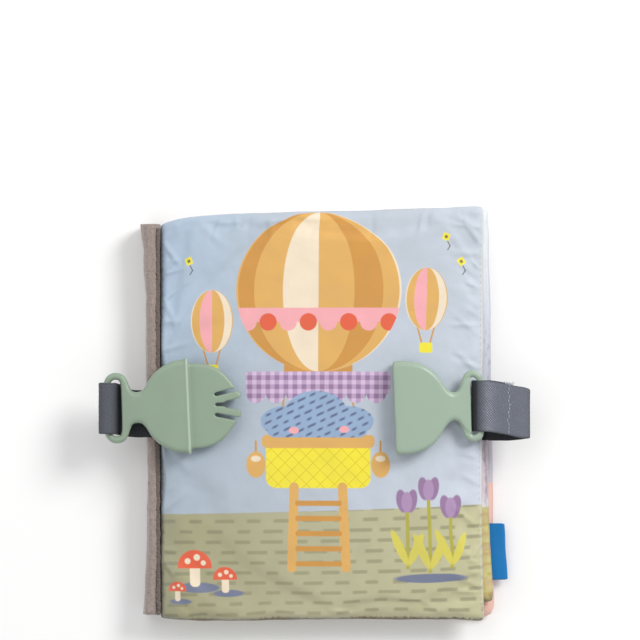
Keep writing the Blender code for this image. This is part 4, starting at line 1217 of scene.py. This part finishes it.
CLIP_MAT = clip_material()
for node, body in (("male_clip", "male_half"), ("female_clip", "female_half")):
    obj = soft_copy(node, node + "_moulded", 0.00045, 5)
    ridge = np.zeros((len(obj.data.vertices), 3))
    if node == "male_clip":
        # the tongue fills its socket as closely as the real one
        co = points(obj)
        turn = math.radians(1.6)
        face = mm(14.4, 2.15, 0)
        dx, dy = co[:, 0] - face.x, co[:, 1] - face.y
        s, v = dx * math.cos(turn) + dy * math.sin(turn), -dx * math.sin(turn) + dy * math.cos(turn)
        k = smoothstep(0.0010, 0.0016, s)
        s2, v2 = s * (1 + 0.02 * k), v * (1 + 0.036 * k)
        s2 = np.where(s < 0.0020, np.interp(s, [-1, -0.004, -0.0013, 0.0013, 0.0020], [-1, -0.004, -0.0006, 0.0011, 0.0020]), s2)
        co[:, 0] = face.x + s2 * math.cos(turn) - v2 * math.sin(turn)
        co[:, 1] = face.y + s2 * math.sin(turn) + v2 * math.cos(turn)
        set_points(obj, co)
        # the stop flange gets a painted highlight along its crest
        ridge[:, :] = smoothstep(0.0009, 0.0003, np.abs(s2 - 0.0005))[:, None]
        slant_face(obj, face, 0.0, 0.00065)
    else:
        slant_face(obj, mm(117.5, 1.2, 0), 0.0002, 0.00065)
    set_attr(obj, "ridge", ridge)
    obj.data.materials.append(CLIP_MAT)
    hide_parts(node)
    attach(obj, body)


# --------------------------------------------------------------------- side tag
def tag_tape():
    """A short folded tape, bare, that bends down a little at its free fold."""
    ny, nx = 36, 12
    verts, lay = [], []
    for side in (1, -1):
        for j in range(ny + 1):
            t = j / ny
            y = -86.0 + 28.4 * t
            reach = 174.7 - 1.7 * t + 0.12 * math.sin(9 * t)
            for i in range(nx + 1):
                u = i / nx
                x = 164.6 + (reach - 164.6) * u
                corner = 0.35 * max(0.0, (u - 0.8) / 0.2) ** 2
                yy = y + corner * (1 if t < 0.5 else -1) * (abs(2 * t - 1) ** 6)
                thick = 0.55 * math.sqrt(max(0.0, 1 - (max(0.0, u - 0.75) / 0.25) ** 2)) + 0.02
                z = 5.35 - 0.5 * u * u + 0.22 * math.sin(5 * t + 3 * u) * u + side * thick
                verts.append(mm(x, yy, z))
                lay.append((x, y, side))
    n = (nx + 1) * (ny + 1)
    faces = []
    for j in range(ny):
        for i in range(nx):
            a = j * (nx + 1) + i
            faces.append((a, a + 1, a + nx + 2, a + nx + 1))
            faces.append((n + a, n + a + nx + 1, n + a + nx + 2, n + a + 1))
    for j in range(ny):
        for i in (0, nx):
            a, b = j * (nx + 1) + i, (j + 1) * (nx + 1) + i
            faces.append((a, b, n + b, n + a) if i else (b, a, n + a, n + b))
    for i in range(nx):
        for j in (0, ny):
            a, b = j * (nx + 1) + i, j * (nx + 1) + i + 1
            faces.append((b, a, n + a, n + b) if j else (a, b, n + b, n + a))
    obj = new_object("side_tag_tape", verts, faces)
    outward(obj)
    set_attr(obj, "lay", lay)
    g = Graph("tag_blue", rough=0.6)
    p = g.attr("lay")
    x, y, s = g.split(p)
    rib = g.math("SINE", g.math("MULTIPLY", y, 2 * math.pi / 0.55))
    grain = g.noise(p, 3.0, 4.0, 0.6)
    col = g.mix(g.ramp(grain, 0.3, 0.7), srgb(8, 107, 175), srgb(18, 134, 201))
    col = g.mix(g.ramp(rib, -1.0, 1.0, 0.0, 0.25), col, srgb(14, 86, 158))
    g.colour(col)
    g.normal(g.bump(g.math("ADD", rib, grain), 0.4, 0.0002))
    g.shader.inputs["Sheen Weight"].default_value = 0.08
    g.shader.inputs["Specular IOR Level"].default_value = 0.25
    obj.data.materials.append(g.mat)
    return obj


tag = tag_tape()
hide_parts("side_tag")
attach(tag, "back_cover")


# ----------------------------------------------------------------- floor, light
def floor():
    obj = new_object("floor", [(-2, -2, -0.0002), (2, -2, -0.0002), (2, 2, -0.0002), (-2, 2, -0.0002)], [(0, 1, 2, 3)])
    g = Graph("floor_white", rough=0.9)
    made = g.node("ShaderNodeTexCoord")
    g.colour(g.mix(g.noise(made.outputs["Object"], 3.0), (0.93, 0.93, 0.93, 1), (0.95, 0.95, 0.95, 1)))
    obj.data.materials.append(g.mat)


floor()
world = bpy.data.worlds.new("studio")
bpy.context.scene.world = world
world.use_nodes = True
world.node_tree.nodes["Background"].inputs["Color"].default_value = (1.0, 1.0, 1.0, 1.0)
world.node_tree.nodes["Background"].inputs["Strength"].default_value = 0.58


def area(name, at, aim, size, power, colour=(1, 1, 1)):
    data = bpy.data.lights.new(name, "AREA")
    data.shape = "DISK"
    data.size = size
    data.energy = power
    data.color = colour
    obj = bpy.data.objects.new(name, data)
    bpy.context.collection.objects.link(obj)
    obj.location = at
    obj.rotation_euler = (Vector(aim) - Vector(at)).to_track_quat("-Z", "Y").to_euler()


area("key", (0.80, 0.72, 0.95), (0.02, 0.0, 0.0), 0.6, 12.5, (1.0, 0.99, 0.975))
area("fill", (-0.6, 0.9, 1.6), (0.0, 0.0, 0.0), 1.2, 4.5, (0.97, 0.98, 1.0))
area("left", (-1.2, -0.2, 0.75), (-0.05, 0.0, 0.0), 1.0, 3.0, (1.0, 1.0, 1.0))
view = bpy.context.scene.view_settings
view.view_transform = "Standard"
view.look = "None"
